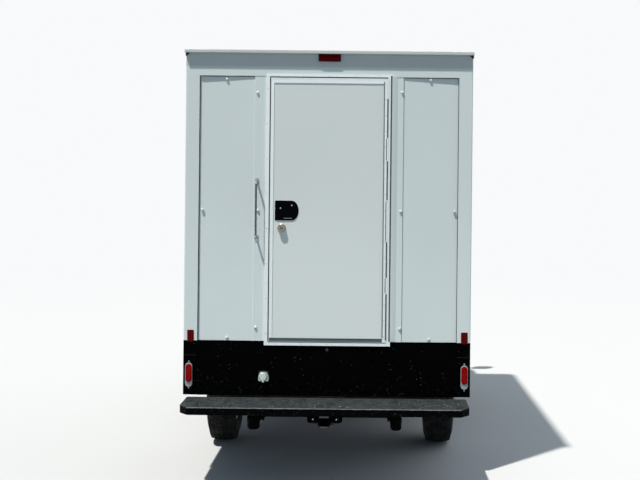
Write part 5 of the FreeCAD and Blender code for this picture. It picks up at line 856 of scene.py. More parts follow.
def make_tail_lamps():
    """Oval lamps: black flange with two screws, clear stadium, red lens inside and its diodes."""
    flange, screws, clear, red, dots = (bmesh.new() for _ in range(5))
    ring = stadium(0.0255, 0.085)
    for _, sign in SIDES:
        x = sign * TAIL_LAMP_X
        place = rear_place(x, TAIL_LAMP_Z, on_rear(x, TAIL_LAMP_Z + 0.12, "rear_apron", "rear_frame").y)
        add_prism(flange, stadium(0.029, 0.102), -0.002, 0.007, place)
        add_prism(flange, stadium(0.0275, 0.09), 0.006, 0.012, place)
        for end in (-1, 1):
            add_dome(screws, place @ Vector((0, end * 0.0935, 0.007)), -Y, 0.0048, 0.003, 12)
        add_prism(clear, ring, 0.01, 0.0155, place)
        for wide, tall, low, high in ((0.84, 0.74, 0.0145, 0.0205), (0.7, 0.68, 0.02, 0.0225)):
            add_prism(red, [(a * wide, b * tall + 0.014) for a, b in ring], low, high, place)
        for row, out in enumerate((0.0051, 0.0085, 0.0085, 0.0085, 0.0051)):
            for a in (-out, out):
                add_dome(dots, place @ Vector((a, 0.014 + (row - 2) * TAIL_DIODE_PITCH, 0.0222)), -Y, 0.0042,
                         0.0016)
    finish_piece("tail_lamp_flanges", flange, "gloss", bevel=0.001)
    finish_piece("tail_lamp_screws", screws, "screw", smooth=35)
    finish_piece("tail_lamp_clear", clear, "clear", bevel=0.0015)
    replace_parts(finish_piece("tail_lamp_red", red, "red", bevel=0.0015), "rear_lamps")
    finish_piece("tail_lamp_diodes", dots, "red", smooth=40)


def make_stop_lamp():
    """High stop lamp: a dark red lens in a black foot, with two rows of diodes."""
    base, red = bmesh.new(), bmesh.new()
    place = rear_place(0.0, STOP_LAMP_Z, on_rear(0.2, 2.93, "rear_frame").y)
    add_prism(base, rounded(0.0785, 0.0295, 0.006), -0.002, 0.01, place)
    add_prism(red, rounded(0.0755, 0.0265, 0.008), 0.009, 0.0225, place)
    for i in range(7):
        for up in (-0.015, 0.009):
            add_dome(red, place @ Vector(((i - 3) * STOP_DIODE_PITCH, up, 0.0215)), -Y, 0.0075, 0.003, 12)
    finish_piece("stop_lamp_base", base, "gloss", bevel=0.001)
    finish_piece("stop_lamp_lens", red, "stop", smooth=40, bevel=0.0015)


HINGE_SCREW_Z, HINGE_SCREW_PITCH = 0.985, 0.1115


def make_door_fittings():
    """Hinge screws, jamb screws, handle screws and the apron's plug."""
    levels = [HINGE_SCREW_Z + i * HINGE_SCREW_PITCH for i in range(17)]
    bm = bmesh.new()
    add_domes(bm, [(0.4, z) for z in levels], "rear_door_hinge rear_door", 0.0042, 0.0018)
    finish_piece("leaf_screws", bm, "screw", body="rear_door", smooth=35)

    bm = bmesh.new()
    add_domes(bm, [(0.4325, z) for z in levels], "rear_door_hinge door_jamb", 0.004, 0.0018)
    rim = [(-0.434, 1.0 + i * 0.247) for i in range(8)]
    rim += [(-0.36 + i * 0.18, z) for i in range(5) for z in (2.818, 0.928)]
    add_domes(bm, rim, "door_jamb", 0.0045, 0.002)
    lo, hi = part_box("grab_handle")
    ends = (lo.z + 0.012, lo.z + 0.036, hi.z - 0.012, hi.z - 0.036)
    add_domes(bm, [((lo.x + hi.x) / 2, z) for z in ends], "grab_handle", 0.0045, 0.0025)
    finish_piece("jamb_screws", bm, "screw", smooth=35)

    bm = bmesh.new()
    add_lathe(bm, [(0.0105, -0.001), (0.0105, 0.003), (0.0065, 0.004), (0.006, 0.001), (0, 0.001)],
              (0.001, on_rear(0.001, 0.887, "rear_apron").y, 0.887), -Y, 20)
    finish_piece("apron_plug", bm, "plastic", smooth=35)


def paddle(half_w, half_h, nose):
    """The latch's outline: square on the left, round on the right."""
    cut = 0.004
    outline = [(-half_w + cut, half_h), (-half_w, half_h - cut), (-half_w, -half_h + cut),
               (-half_w + cut, -half_h)]
    turns = (math.radians(-90 + 180 * i / 12) for i in range(13))
    return outline + [(half_w - nose + nose * math.cos(a), half_h * math.sin(a)) for a in turns]


def make_latch():
    """A flush paddle in its plate with two rivets, and the deadbolt's turned housing with its key plug."""
    face = on_rear(-0.3, 1.87, "rear_door").y
    plate, detail = bmesh.new(), bmesh.new()
    place = rear_place(-0.293, 1.869, face)
    add_prism(plate, paddle(0.084, 0.07, 0.05), -0.001, 0.003, place)
    add_prism(plate, paddle(0.076, 0.062, 0.046), 0.0025, 0.0068, place)
    add_prism(detail, rounded(0.03, 0.0014, 0.001, 2, centre=(0.007, -0.0545)), 0.0065, 0.008, place)
    for x, z in ((-0.337, 1.885), (-0.257, 1.906)):
        add_dome(detail, (x, face - 0.0066, z), -Y, 0.0062, 0.003, 12)
    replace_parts(finish_piece("latch_paddle", plate, "gloss", body="rear_door", bevel=0.0012),
                "rear_door_latch")
    finish_piece("latch_rivets", detail, "tank", body="rear_door", smooth=35)
    turned, key = bmesh.new(), bmesh.new()
    lock = Vector((-0.328, face, 1.744))
    add_lathe(turned, [(0.0305, -0.001), (0.0305, 0.0025), (0.029, 0.004), (0.0268, 0.005), (0.0255, 0.022),
                       (0.0235, 0.0255), (0.018, 0.0262), (0.0165, 0.024), (0.0, 0.024)], lock, -Y, 36)
    add_lathe(key, [(0.011, 0.0235), (0.011, 0.0258), (0.01, 0.0264), (0.0, 0.0264)], lock, -Y, 24)
    keyway = Matrix.Translation(lock) @ rear_place(0, 0, 0)
    add_box(turned, (-0.001, -0.0055, 0.026), (0.001, 0.0055, 0.0267), keyway)
    # The housing's nickel is darkened by painted reflection.
    finish_piece("deadbolt_body", turned, "nickel_with_painted_dark_reflection", body="rear_door", smooth=35)
    # The key plug takes the chrome with its painted dark reflection.
    finish_piece("deadbolt_plug", key, "handle", body="rear_door", smooth=35)


DARK_RUNS = ((2.665, 2.388), (2.225, 1.945), (1.655, 1.402), (1.288, 0.96))
BARREL_X = 0.4155
SLEEVE = 0.0064
SCAN = 0.001


def make_dark_barrel():
    """Dark sleeves round stretches of the hinge barrel, split by which body the knuckle belongs to."""
    barrel = min(on_rear(BARREL_X, 1.4 + i * 0.01, "rear_door_hinge").y for i in range(20))
    turns = [math.radians(-75 + 10 * i) for i in range(11)]
    # Outline of the dark sleeves round the barrel.
    worn = [(BARREL_X + SLEEVE * math.sin(a), barrel + 0.006 - SLEEVE * math.cos(a)) for a in turns]
    bare = {"rear_door": bmesh.new(), "chassis": bmesh.new()}
    for z1, z0 in DARK_RUNS:
        owners = []
        for i in range(int((z1 - z0) / SCAN)):
            knuckle = hit((BARREL_X, -4, z0 + i * SCAN), Y, "rear_door_hinge")
            owners.append("rear_door" if knuckle and knuckle[0].y < barrel + 0.002 else "chassis")
        start = 0
        for i in range(1, len(owners) + 1):
            if i == len(owners) or owners[i] != owners[start]:
                if i - start > 3:
                    add_prism(bare[owners[start]], worn, z0 + start * SCAN + 0.001, z0 + i * SCAN - 0.001)
                start = i
    for owner, name in (("rear_door", "hinge_dark_barrel"), ("chassis", "jamb_dark_barrel")):
        finish_piece(name, bare[owner], "bare", body=owner, smooth=40)


def make_door_gaskets():
    """Dark rubber in the gap round the leaf, the beads beside the hinge, and beside the jamb a painted shadow
    strip with a pale fillet.
    """
    low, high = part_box("rear_door")
    jamb = on_rear(-0.43, 1.5, "door_jamb").y
    left, top = low.x - 0.0072, high.z + 0.0072
    make_boxes("door_gasket", "seal",
               ((left, jamb - 0.0012, low.z + 0.002), (left + 0.006, jamb + 0.0005, top)),
               ((left, jamb - 0.0012, top - 0.006), (high.x + 0.003, jamb + 0.0005, top)), bevel=0.0008)
    make_dark_barrel()
    strap = on_rear(0.4, 1.5, "rear_door_hinge").y
    make_boxes("hinge_barrel_seal", "sealant", *(
        ((0.404, strap - 0.0014, below + 0.004), (0.409, strap + 0.0005, above - 0.004))
        for (_, above), (below, _) in zip(DARK_RUNS, DARK_RUNS[1:])), body="rear_door")
    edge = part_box("door_jamb")[1].x
    front = on_rear(edge - 0.006, 1.5, "door_jamb").y
    side = on_rear(edge + 0.004, 1.5, "rear_panels", "rear_frame").y + 0.002
    # Painted shadow: a dark strip over the jamb's outer edge where its shadow falls; the pale fillet beside
    # it fills the step so the jamb casts none there.
    make_boxes("jamb_painted_shadow", "sealant",
               ((edge - 0.012, front - 0.0008, 0.95), (edge - 0.001, front + 0.0005, 2.826)), bevel=0.0004)
    bm = bmesh.new()
    outline = [(edge - 0.001, front - 0.0006), (edge + 0.006, front + 0.0002), (edge + 0.042, side - 0.0008),
               (edge + 0.042, side + 0.001), (edge - 0.001, side + 0.001)]
    add_prism(bm, outline, 0.952, 2.824)
    finish_piece("jamb_fillet", bm, "panel", smooth=25)
    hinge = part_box("rear_door_hinge")[0].x
    make_boxes("hinge_edge_seal", "bead", ((hinge - 0.006, strap - 0.001, low.z + 0.03),
                                           (hinge + 0.002, strap + 0.0012, high.z - 0.022)), body="rear_door")


STOPS = ((-0.508, 0.047), (0.492, 0.042))
STOPS_Y = -2.56


def make_bracket_bumpers():
    """Rubber stops bolted under the hitch's side brackets."""
    profile = ((1, 0.001), (1.02, -0.03), (0.9, -0.038), (0.97, -0.048), (0.92, -0.072), (0.7, -0.082),
               (0, -0.084))
    bm = bmesh.new()
    for x, half in STOPS:
        found = hit((x, STOPS_Y, 0.1), Z, "hitch_brackets")
        top = found[0].z if found else 0.42
        add_lathe(bm, [(half * r, h) for r, h in profile], (x, STOPS_Y, top), Z)
    finish_piece("bracket_bumpers", bm, "gloss", slot="tyre_rubber", smooth=40)


def make_hitch_details():
    """Worn rims of the receiver and of its chain plate, and the pins in the plate's eyes."""
    face = sure_hit((0.033, -4, 0.455), Y, "hitch")[0].y
    plate = sure_hit((0.105, -4, 0.45), Y, "hitch")[0].y
    make_boxes("receiver_wear", "worn", *(
        ((x0, y - 0.0006, z0), (x1, y + 0.001, z1)) for x0, x1, y, z0, z1 in (
            (-0.033, 0.031, face, 0.4808, 0.4925), (-0.03, 0.03, face, 0.418, 0.4212),
            (-0.098, -0.044, plate, 0.4215, 0.425), (0.044, 0.082, plate, 0.4215, 0.425))))
    pins, heads = bmesh.new(), bmesh.new()
    for _, sign in SIDES:
        spot = Vector((sign * 0.08, plate, 0.45))
        add_lathe(pins, [(0.0165, -0.001), (0.0165, 0.003), (0.008, 0.004), (0.0, 0.004)], spot, -Y, 20)
        add_dome(heads, spot - Y * 0.0035, -Y, 0.005, 0.002, 12)
    finish_piece("chain_plate_pins", pins, "gloss", smooth=35)
    finish_piece("chain_plate_rivets", heads, "screw", smooth=35)


def make_step_tread():
    """Raised lozenges of the step's tread plate, in rows that lean alternately."""
    bm = bmesh.new()
    pitch_x, pitch_y = 0.03, 0.0175
    y0, y1 = STEP_LO.y + 0.022, REAR_FACE - 0.022
    rows = int((y1 - y0) / pitch_y)
    columns = int((STEP_HI.x - STEP_LO.x - 0.05) / pitch_x)
    lozenge = [(-0.0125, 0), (-0.006, -0.0032), (0.006, -0.0032), (0.0125, 0), (0.006, 0.0032),
               (-0.006, 0.0032)]
    for row in range(rows + 1):
        y = y0 + row * pitch_y
        chamfer = max(0.0, 0.075 - (y - STEP_LO.y)) * 0.85
        for column in range(columns + 1):
            x = STEP_LO.x + 0.025 + (column + 0.5 * (row % 2)) * pitch_x
            if abs(x) > STEP_HI.x - 0.022 - chamfer:
                continue
            turn = Matrix.Rotation(math.radians(45 if (row + column) % 2 else -45), 4, "Z")
            place = Matrix.Translation((x, y, STEP_HI.z)) @ turn
            base, top = ([bm.verts.new(place @ Vector((a * wide, b * deep, up))) for a, b in lozenge]
                         for wide, deep, up in ((1, 1, -0.0005), (0.72, 0.5, 0.0016)))
            bm.faces.new(top)
            bridge(bm, base, top)
    finish_piece("step_tread", bm, "step", slot="black_paint")


RIVET_PITCH = 0.075
WALL_POSTS = 6


def make_wall_rivets():
    """Rivets along the side walls' rails and posts."""
    bm = bmesh.new()
    lo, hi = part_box("box_walls")
    front, rear = hi.y - 0.02, lo.y + 0.03
    count = int((front - rear) / RIVET_PITCH)
    rails = [(rear + i * (front - rear) / count, z, ("box_walls", "rear_frame", "box_front_wall"))
             for i in range(count + 1) for z in (PAINT_LINE + 0.03, hi.z - 0.035)]
    uprights = [(rear + 0.02 + k * (front - rear - 0.04) / WALL_POSTS,
                 PAINT_LINE + 0.105 + i * (hi.z - PAINT_LINE - 0.22) / 24, ("box_walls",))
                for k in range(WALL_POSTS + 1) for i in range(25)]
    for _, sign in SIDES:
        for y, z, nodes in rails + uprights:
            found = side_hit(sign, y, z, *nodes)
            if found:
                add_dome(bm, found[0], sign * X, 0.0052, 0.0024, 8)
    finish_piece("wall_rivets", bm, "white", smooth=35)


# Wheels

TREAD_HALF = 0.086
GROOVES = (-0.0505, -0.017, 0.017, 0.0505)
GROOVE_HALF = 0.0045
TREAD_PITCHES = 56


def tread_radius(u):
    return TYRE_RADIUS - 0.0005 - 0.0045 * (u / TREAD_HALF) ** 2


def add_tread(bm, middle, base):
    """Five rows of tread blocks, the outer ones sloped down at the shoulder."""
    edges = [g + s for g in GROOVES for s in (-GROOVE_HALF, GROOVE_HALF)]
    edges = [-TREAD_HALF - 0.006, *edges, TREAD_HALF + 0.006]
    span = 0.86 / TREAD_PITCHES
    for row in range(5):
        skew = (0.2 if row % 2 else -0.2) / TREAD_PITCHES
        for k in range(TREAD_PITCHES):
            start = (k + 0.37 * row % 1.0) / TREAD_PITCHES
            bottom, top = [], []
            for i in range(3):
                for end, lean in ((0, 0.0), (1, skew)):
                    u = edges[2 * row + end]
                    turn = 2 * math.pi * (start + span * i / 2 + lean)
                    drop = 0.01 if (row, end) in ((0, 0), (4, 1)) else 0.0
                    for ring, at, r in ((bottom, u * 1.03 if drop else u, base - 0.001 - drop),
                                        (top, u, tread_radius(u) - drop * 0.45)):
                        ring.append(bm.verts.new(middle + Vector((at, r * math.cos(turn),
                                                                  r * math.sin(turn)))))
            for a in (0, 2):
                b, c, d = a + 1, a + 3, a + 2
                bm.faces.new((top[a], top[b], top[c], top[d]))
                bm.faces.new((bottom[a], top[a], top[d], bottom[d]))
                bm.faces.new((bottom[b], bottom[c], top[c], top[b]))
            bm.faces.new((bottom[0], bottom[1], top[1], top[0]))
            bm.faces.new((bottom[4], top[4], top[5], bottom[5]))


def make_tyre(end, side, sign):
    """A tyre: a carcass with ribbed sidewalls, and five rows of tread blocks."""
    wheel = "%s_%s" % (end, side)
    lo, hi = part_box("tyre_" + wheel)
    middle = (lo + hi) / 2
    half = (hi.x - lo.x) / 2
    base = TYRE_RADIUS - 0.0095
    outer = [(r, half - inwards) for r, inwards in (
        (0.2065, 0.03), (0.21, 0.024), (0.218, 0.0205), (0.219, 0.0165), (0.223, 0.016), (0.226, 0.0105),
        (0.245, 0.0055), (0.263, 0.002), (0.265, 0.0006), (0.268, 0.0006), (0.27, 0.0018), (0.29, 0.0012),
        (0.306, 0.003), (0.308, 0.0018), (0.311, 0.0024), (0.313, 0.005), (0.33, 0.0105), (0.344, 0.0175),
        (0.353, 0.0225))] + [(base, TREAD_HALF - 0.004)]
    carcass = outer + [(base + 0.001, 0.0)] + [(r, -u) for r, u in reversed(outer)]
    lining = [(0.2065, half - 0.046), (0.23, half - 0.04), (0.32, half - 0.034)]
    inner = [(r, -u) for r, u in lining] + [(0.346, -0.06), (0.348, 0.06)] + lining[::-1]
    bm = bmesh.new()
    add_lathe(bm, carcass + inner + [carcass[0]], middle, X, 96)
    bmesh.ops.remove_doubles(bm, verts=bm.verts, dist=1e-5)
    add_tread(bm, middle, base)
    body = "wheel_" + wheel
    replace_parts(finish_piece("tread_" + wheel, bm, "rubber", body=body, smooth=32), "tyre_" + wheel)

    bm = bmesh.new()
    foot = sure_hit((sign * 1.6, middle.y + 0.148, middle.z + 0.055), -sign * X, "rim_" + wheel)[0]
    for low, high, radius in ((-0.004, 0.024, [0.0055, 0.0042]), (0.023, 0.033, 0.0048)):
        add_tube(bm, [foot + sign * X * low, foot + sign * X * high], radius)
    finish_piece("valve_" + wheel, bm, "seal", body=body, smooth=35)


# Cab outside

def add_loop(bm, origin, direction, nodes, corners, radii, width, height):
    """A rubber strip laid round an outline on the nodes' surface."""
    placed = [hit(origin(a, b), direction, *nodes) for a, b in corner_loop(corners, radii)]
    add_seal(bm, [found for found in placed if found], width, height)


def corner_loop(corners, radii, steps=6, spacing=0.09):
    """A closed outline through 2-D corners, each rounded, with points along the straight runs."""
    points = []
    count = len(corners)
    for i, (corner, radius) in enumerate(zip(corners, radii)):
        p, a, b = Vector(corner), Vector(corners[i - 1]), Vector(corners[(i + 1) % count])
        to_a, to_b = (a - p).normalized(), (b - p).normalized()
        half = to_a.angle(to_b) / 2
        reach = radius / math.tan(half)
        centre = p + (to_a + to_b).normalized() * radius / math.sin(half)
        start, end = p + to_a * reach - centre, p + to_b * reach - centre
        for k in range(steps + 1):
            mixed = start.lerp(end, k / steps)
            points.append(centre + mixed.normalized() * radius)
    full = []
    for p, q in zip(points, points[1:] + points[:1]):
        full.append(p)
        extra = int((q - p).length / spacing)
        full.extend(p.lerp(q, (k + 1) / (extra + 1)) for k in range(extra))
    return [tuple(p) for p in full]


def add_seal(bm, placed, width, height, sink=0.002):
    """A flat closed rubber strip laid along points on a surface."""
    section = ((-1.0, -sink), (-1.0, height * 0.55), (-0.5, height), (0.5, height), (1.0, height * 0.55),
               (1.0, -sink))
    rings = []
    for (before, _), (here, normal), (after, _) in zip(placed[-1:] + placed, placed, placed[1:] + placed[:1]):
        across = (after - before).normalized().cross(normal).normalized()
        rings.append([bm.verts.new(here + across * a * width / 2 + normal * b) for a, b in section])
    bridge(bm, *rings, rings[0])


WINDOW = [(0.6745, 1.3), (1.3665, 1.3), (0.9585, 1.89), (0.6745, 1.89)]
WINDOW_RADII = [0.04, 0.034, 0.06, 0.05]
SCREEN = [(-0.905, 1.322), (0.905, 1.322), (0.832, 1.93), (-0.832, 1.93)]
SCREEN_RADII = [0.06, 0.06, 0.08, 0.08]


def grown(corners, by):
    """Corners of a convex outline moved outwards by a distance."""
    count = len(corners)
    moved = []
    for i in range(count):
        a, p, b = Vector(corners[i - 1]), Vector(corners[i]), Vector(corners[(i + 1) % count])
        to_a, to_b = (a - p).normalized(), (b - p).normalized()
        half = to_a.angle(to_b) / 2
        moved.append(tuple(p - (to_a + to_b).normalized() * by / math.sin(half)))
    return moved


def make_glazing_seals():
    bm = bmesh.new()
    add_loop(bm, lambda a, b: (a, 4, b), -Y, ("windscreen", "cab_shell"), grown(SCREEN, 0.004), SCREEN_RADII,
             0.024, 0.006)
    finish_piece("windscreen_seal", bm, "seal", smooth=60)
    for side, sign in SIDES:
        bm = bmesh.new()
        nodes = ("door_glass_" + side, "cab_door_" + side)
        add_loop(bm, lambda a, b: (sign * 2, a, b), -sign * X, nodes, grown(WINDOW, 0.003), WINDOW_RADII,
                 0.02, 0.005)
        finish_piece("window_seal_" + side, bm, "seal", body="cab_door_" + side, smooth=60)


def add_pads(bm, place, *pads):
    """Flat pads with round corners: half sizes, corner radius, levels, steps and perhaps a centre."""
    for half_a, half_b, radius, low, high, steps, *centre in pads:
        add_prism(bm, rounded(half_a, half_b, radius, steps, *centre), low, high, place)


HANDLE_Y, HANDLE_Z = 0.745, 1.158


def make_door_handles():
    for side, sign in SIDES:
        door = "cab_door_" + side
        bm = bmesh.new()
        y, z = HANDLE_Y, HANDLE_Z
        x = side_hit(sign, y, z, door, find=sure_hit)[0].x
        turn = side_place(sign, x, y, z)
        add_pads(bm, turn, (0.098, 0.03, 0.024, -0.002, 0.0035, 6), (0.086, 0.02, 0.016, 0.003, 0.004, 6))
        grip = [(0.07, 0.004), (0.062, 0.016), (0.045, 0.024)]
        path = [turn @ Vector((a, 0.002, b)) for a, b in grip + [(-a, b) for a, b in reversed(grip)]]
        add_tube(bm, arc(path, 0.012, 3), 0.0065, 12)
        finish_piece("door_handle_" + side, bm, "plastic", body=door, smooth=35, bevel=0.0012)
        bm = bmesh.new()
        add_lathe(bm, [(0.0125, -0.001), (0.0125, 0.003), (0.01, 0.0042), (0, 0.0042)],
                  (x, y - 0.118, z - 0.002), (sign, 0, 0), 20)
        add_box(bm, (x - 0.001, y - 0.1188, z - 0.0075), (x + sign * 0.0046, y - 0.1172, z + 0.0035))
        finish_piece("door_lock_" + side, bm, "bright", body=door, smooth=35)


def make_mirror_faces():
    for side, sign in SIDES:
        lo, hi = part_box("mirror_" + side)
        x = (hi.x if sign > 0 else lo.x) - sign * 0.0925
        z = hi.z - 0.15
        y = sure_hit((x, -1, z + 0.045), Y, "mirror_" + side)[0].y
        bm = bmesh.new()
        add_pads(bm, rear_place(x, z + 0.03, y), (0.078, 0.098, 0.018, -0.001, 0.0025, 6))
        add_pads(bm, rear_place(x, z - 0.104, y), (0.078, 0.028, 0.014, -0.001, 0.0025, 6))
        finish_piece("mirror_glass_" + side, bm, "mirror", body="cab_door_" + side, bevel=0.001)


def on_glass(x, z, off):
    point, normal = sure_hit((x, 4, z), -Y, "windscreen", "cab_shell")
    return point + normal * off


def make_wipers():
    """Two parked wiper arms with their blades, laid on the windscreen."""
    bm = bmesh.new()
    for pivot_x, tip_x in ((-0.62, -0.02), (0.06, 0.66)):
        pivot = on_glass(pivot_x, 1.33, 0.004)
        add_lathe(bm, [(0.015, -0.006), (0.015, 0.012), (0.01, 0.018), (0, 0.018)], pivot, (0, 0.5, 0.85), 16)
        elbow = on_glass(pivot_x + 0.1, 1.352, 0.024)
        middle_x = (pivot_x + tip_x) / 2 + 0.06
        middle = on_glass(middle_x, 1.382, 0.02)
        add_tube(bm, [pivot + Vector((0, 0.006, 0.01)), elbow, middle], [0.0075, 0.006, 0.0042], 8)
        blade, edge = ([on_glass(middle_x - half + 2 * half * i / 10, z + 0.02 * i / 10, off)
                        for i in range(11)]
                       for half, z, off in ((0.25, 1.372, 0.01), (0.26, 1.366, 0.004)))
        add_tube(bm, blade, 0.0048, 6)
        add_tube(bm, edge, 0.0032, 6)
        for t in (2, 5, 8):
            add_tube(bm, [blade[t], edge[t]], 0.003, 6)
    finish_piece("wipers", bm, "plastic", smooth=40)


def make_headlamp_insides():
    """Two reflector bowls with bulbs behind each headlamp's clear front, and an amber corner."""
    bulb = [(0.007, -0.003), (0.007, 0.006), (0.0045, 0.008), (0.0045, 0.02), (0.002, 0.024), (0, 0.024)]
    corner = [(0.006, -0.034), (0.0155, -0.02), (0.0185, -0.01), (0.0185, -0.007), (0, -0.0055)]
    bowls, bulbs, amber = bmesh.new(), bmesh.new(), bmesh.new()
    for _, sign in SIDES:
        for x, radius in ((0.712, 0.054), (0.822, 0.047)):
            face, normal = sure_hit((sign * x, 4, 0.9), -Y, "headlamps")
            aim = (normal + Y * 1.3).normalized()
            back = face - aim * 0.05
            cup = [(radius * t, 0.034 * t * t) for t in (0.16, 0.3, 0.45, 0.6, 0.75, 0.9, 1.0)]
            skin = [(r + 0.0018, h - 0.0022) for r, h in reversed(cup)]
            add_lathe(bowls, cup + skin + [cup[0]], back, aim, 28)
            add_lathe(bulbs, bulb, back, aim, 14)
        face, normal = sure_hit((sign * 0.897, 4, 0.9), -Y, "headlamps")
        add_lathe(amber, corner, face, (normal + Y * 0.6).normalized(), 20)
    finish_piece("headlamp_bowls", bowls, "mirror", smooth=40)
    finish_piece("headlamp_bulbs", bulbs, "clear", smooth=40)
    finish_piece("turn_signals", amber, "amber", smooth=40)


def make_markers():
    """Small side markers on the body and clearance lamps at the top of its front."""
    amber, red, base = bmesh.new(), bmesh.new(), bmesh.new()
    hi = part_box("box_walls")[1]
    spots = []
    for _, sign in SIDES:
        for y, colour in ((hi.y - 0.16, amber), (REAR_FACE + 0.2, red)):
            found = side_hit(sign, y, 0.895, "box_skirts", "rear_apron", "rear_frame", find=sure_hit)
            spots.append((colour, side_place(sign, found[0].x, y, 0.895), 0.01))
    for _, sign in SIDES:
        found = sure_hit((sign * 0.86, 3, 2.905), -Y, "box_front_wall")
        turn = Matrix(((-1, 0, 0, sign * 0.86), (0, 0, 1, found[0].y), (0, 1, 0, 2.905), (0, 0, 0, 1)))
        spots.append((amber, turn, 0.0095))
    for colour, turn, thick in spots:
        add_pads(base, turn, (0.036, 0.0175, 0.006, -0.001, 0.004, 4))
        add_pads(colour, turn, (0.032, 0.014, 0.005, 0.0035, thick, 4))
    finish_piece("marker_bases", base, "gloss", bevel=0.001)
    finish_piece("marker_amber", amber, "amber", bevel=0.0018)
    finish_piece("marker_red", red, "red", bevel=0.0018)


# Cab inside

def add_cushion(bm, lo, hi, crown, channels, axis):
    """A stuffed cushion between two corners: crowned face along an axis, pulled-in sides, sewn channels."""
    lo, hi = Vector(lo), Vector(hi)
    size, middle = hi - lo, (lo + hi) / 2
    flat = [i for i in range(3) if i != axis]
    made = bmesh.ops.create_grid(bm, x_segments=18, y_segments=18, size=1.0)["verts"]
    top = {vert: (vert.co.x, vert.co.y) for vert in made}
    low = bmesh.ops.duplicate(bm, geom=list(bm.faces) + made)["vert_map"]

    def place(u, v, level):
        p = Vector()
        upper = level > 0
        roundness = max(0.0, max(abs(u), abs(v)) - 0.8) / 0.2
        pulled = 0.045 * roundness ** 2 * (1 if upper else 0.6)
        shrink = 1.0 - pulled - 0.02 * (1 - abs(u * v)) * roundness
        for i, at in zip(flat, (u, v)):
            p[i] = middle[i] + size[i] / 2 * at * shrink
        dome = (1 - u ** 4) * (1 - v ** 4)
        rim = math.sqrt(max(0.0, 1 - roundness ** 2))
        height = level * (size[axis] / 2 - crown) * (0.35 + 0.65 * rim)
        height += level * crown * dome * (1.0 if upper else 0.3)
        if upper:
            for line_axis, at, width in channels:
                gap = abs((u, v)[line_axis] - at)
                height -= 0.01 * math.exp(-(gap / width) ** 2) * (1 - (v, u)[line_axis] ** 8)
        p[axis] = middle[axis] + height
        return p

    for vert, (u, v) in top.items():
        vert.co = place(u, v, 1)
        low[vert].co = place(u, v, -1)
    for edge in [e for e in bm.edges if e.is_boundary and e.verts[0] in top and e.verts[1] in top]:
        a, b = edge.verts
        bm.faces.new((a, b, low[b], low[a]))


SEAT_INNER, SEAT_OUTER = 0.180, 0.680
SEAT_REAR, SEAT_FRONT = 0.6715, 1.1715


def make_seats():
    """Two seats: padded base, back and head rest with sewn channels, on a plain pedestal."""
    lo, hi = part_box("seats")
    floor = lo.z
    base_top = floor + 0.19
    y0, y1 = SEAT_REAR, SEAT_FRONT
    first = None
    for side, sign in SIDES:
        x0, x1 = sorted((sign * SEAT_INNER, sign * SEAT_OUTER))
        for name, inset, low, high, axis, crown, channels in (
            ("seat_base_", 0.0, (y0 + 0.05, base_top - 0.01), (y1, base_top + 0.13), 2, 0.03,
             ((0, -0.62, 0.05), (0, 0.62, 0.05), (1, 0.1, 0.05))),
            ("seat_back_", 0.015, (y0 - 0.03, base_top + 0.085), (y0 + 0.09, hi.z - 0.17), 1, 0.026,
             ((0, -0.6, 0.06), (0, 0.6, 0.06), (1, -0.3, 0.04), (1, 0.3, 0.04))),
            ("head_rest_", 0.125, (y0 - 0.028, hi.z - 0.165), (y0 + 0.072, hi.z - 0.004), 1, 0.02, ()),
        ):
            bm = bmesh.new()
            add_cushion(bm, (x0 + inset, *low), (x1 - inset, *high), crown, channels, axis)
            piece = finish_piece(name + side, bm, "cloth", smooth=75)
            modifier = piece.modifiers.new("soft", "SUBSURF")
            modifier.levels = modifier.render_levels = 1
            first = first or piece
        bm = bmesh.new()
        add_box(bm, (x0 + 0.04, y0 + 0.1, floor), (x1 - 0.04, y1 - 0.05, base_top - 0.004))
        add_box(bm, (x0 + 0.01, y0 + 0.06, base_top - 0.03), (x1 - 0.01, y1 - 0.02, base_top - 0.004))
        for x in (x0 + 0.19, x1 - 0.19):
            add_tube(bm, [(x, y0 + 0.022, hi.z - 0.2), (x, y0 + 0.022, hi.z - 0.13)], 0.006)
        add_tube(bm, [(x, y0 + 0.06, base_top + 0.03) for x in (x0 - 0.004, x1 + 0.004)], 0.03, 18)
        finish_piece("seat_frame_" + side, bm, "plastic", smooth=35, bevel=0.004)
    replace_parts(first, "seats")


def add_dial(dark, rings, marks, centre, radius, ticks):
    """A round instrument facing the driver (-Y): face, ring, tick marks and a needle."""
    rim = radius + 0.004
    add_lathe(dark, [(radius, 0.0), (radius, 0.0015), (0, 0.0015)], centre, -Y, 28)
    add_lathe(rings, [(rim, 0.0), (rim, 0.005), (radius, 0.0065), (radius - 0.001, 0.001), (rim, 0.0)],
              centre, -Y, 28)
    place = rear_place(centre.x, centre.z, centre.y)
    for i in range(ticks):
        turn = place @ Matrix.Rotation(math.radians(225 - 270 * i / (ticks - 1)), 4, "Z")
        add_box(marks, (radius * 0.8, -0.0007, 0.0012), (radius * 0.94, 0.0007, 0.002), turn)
    turn = place @ Matrix.Rotation(math.radians(215), 4, "Z")
    add_box(marks, (-0.006, -0.0009, 0.0022), (radius * 0.74, 0.0009, 0.003), turn)


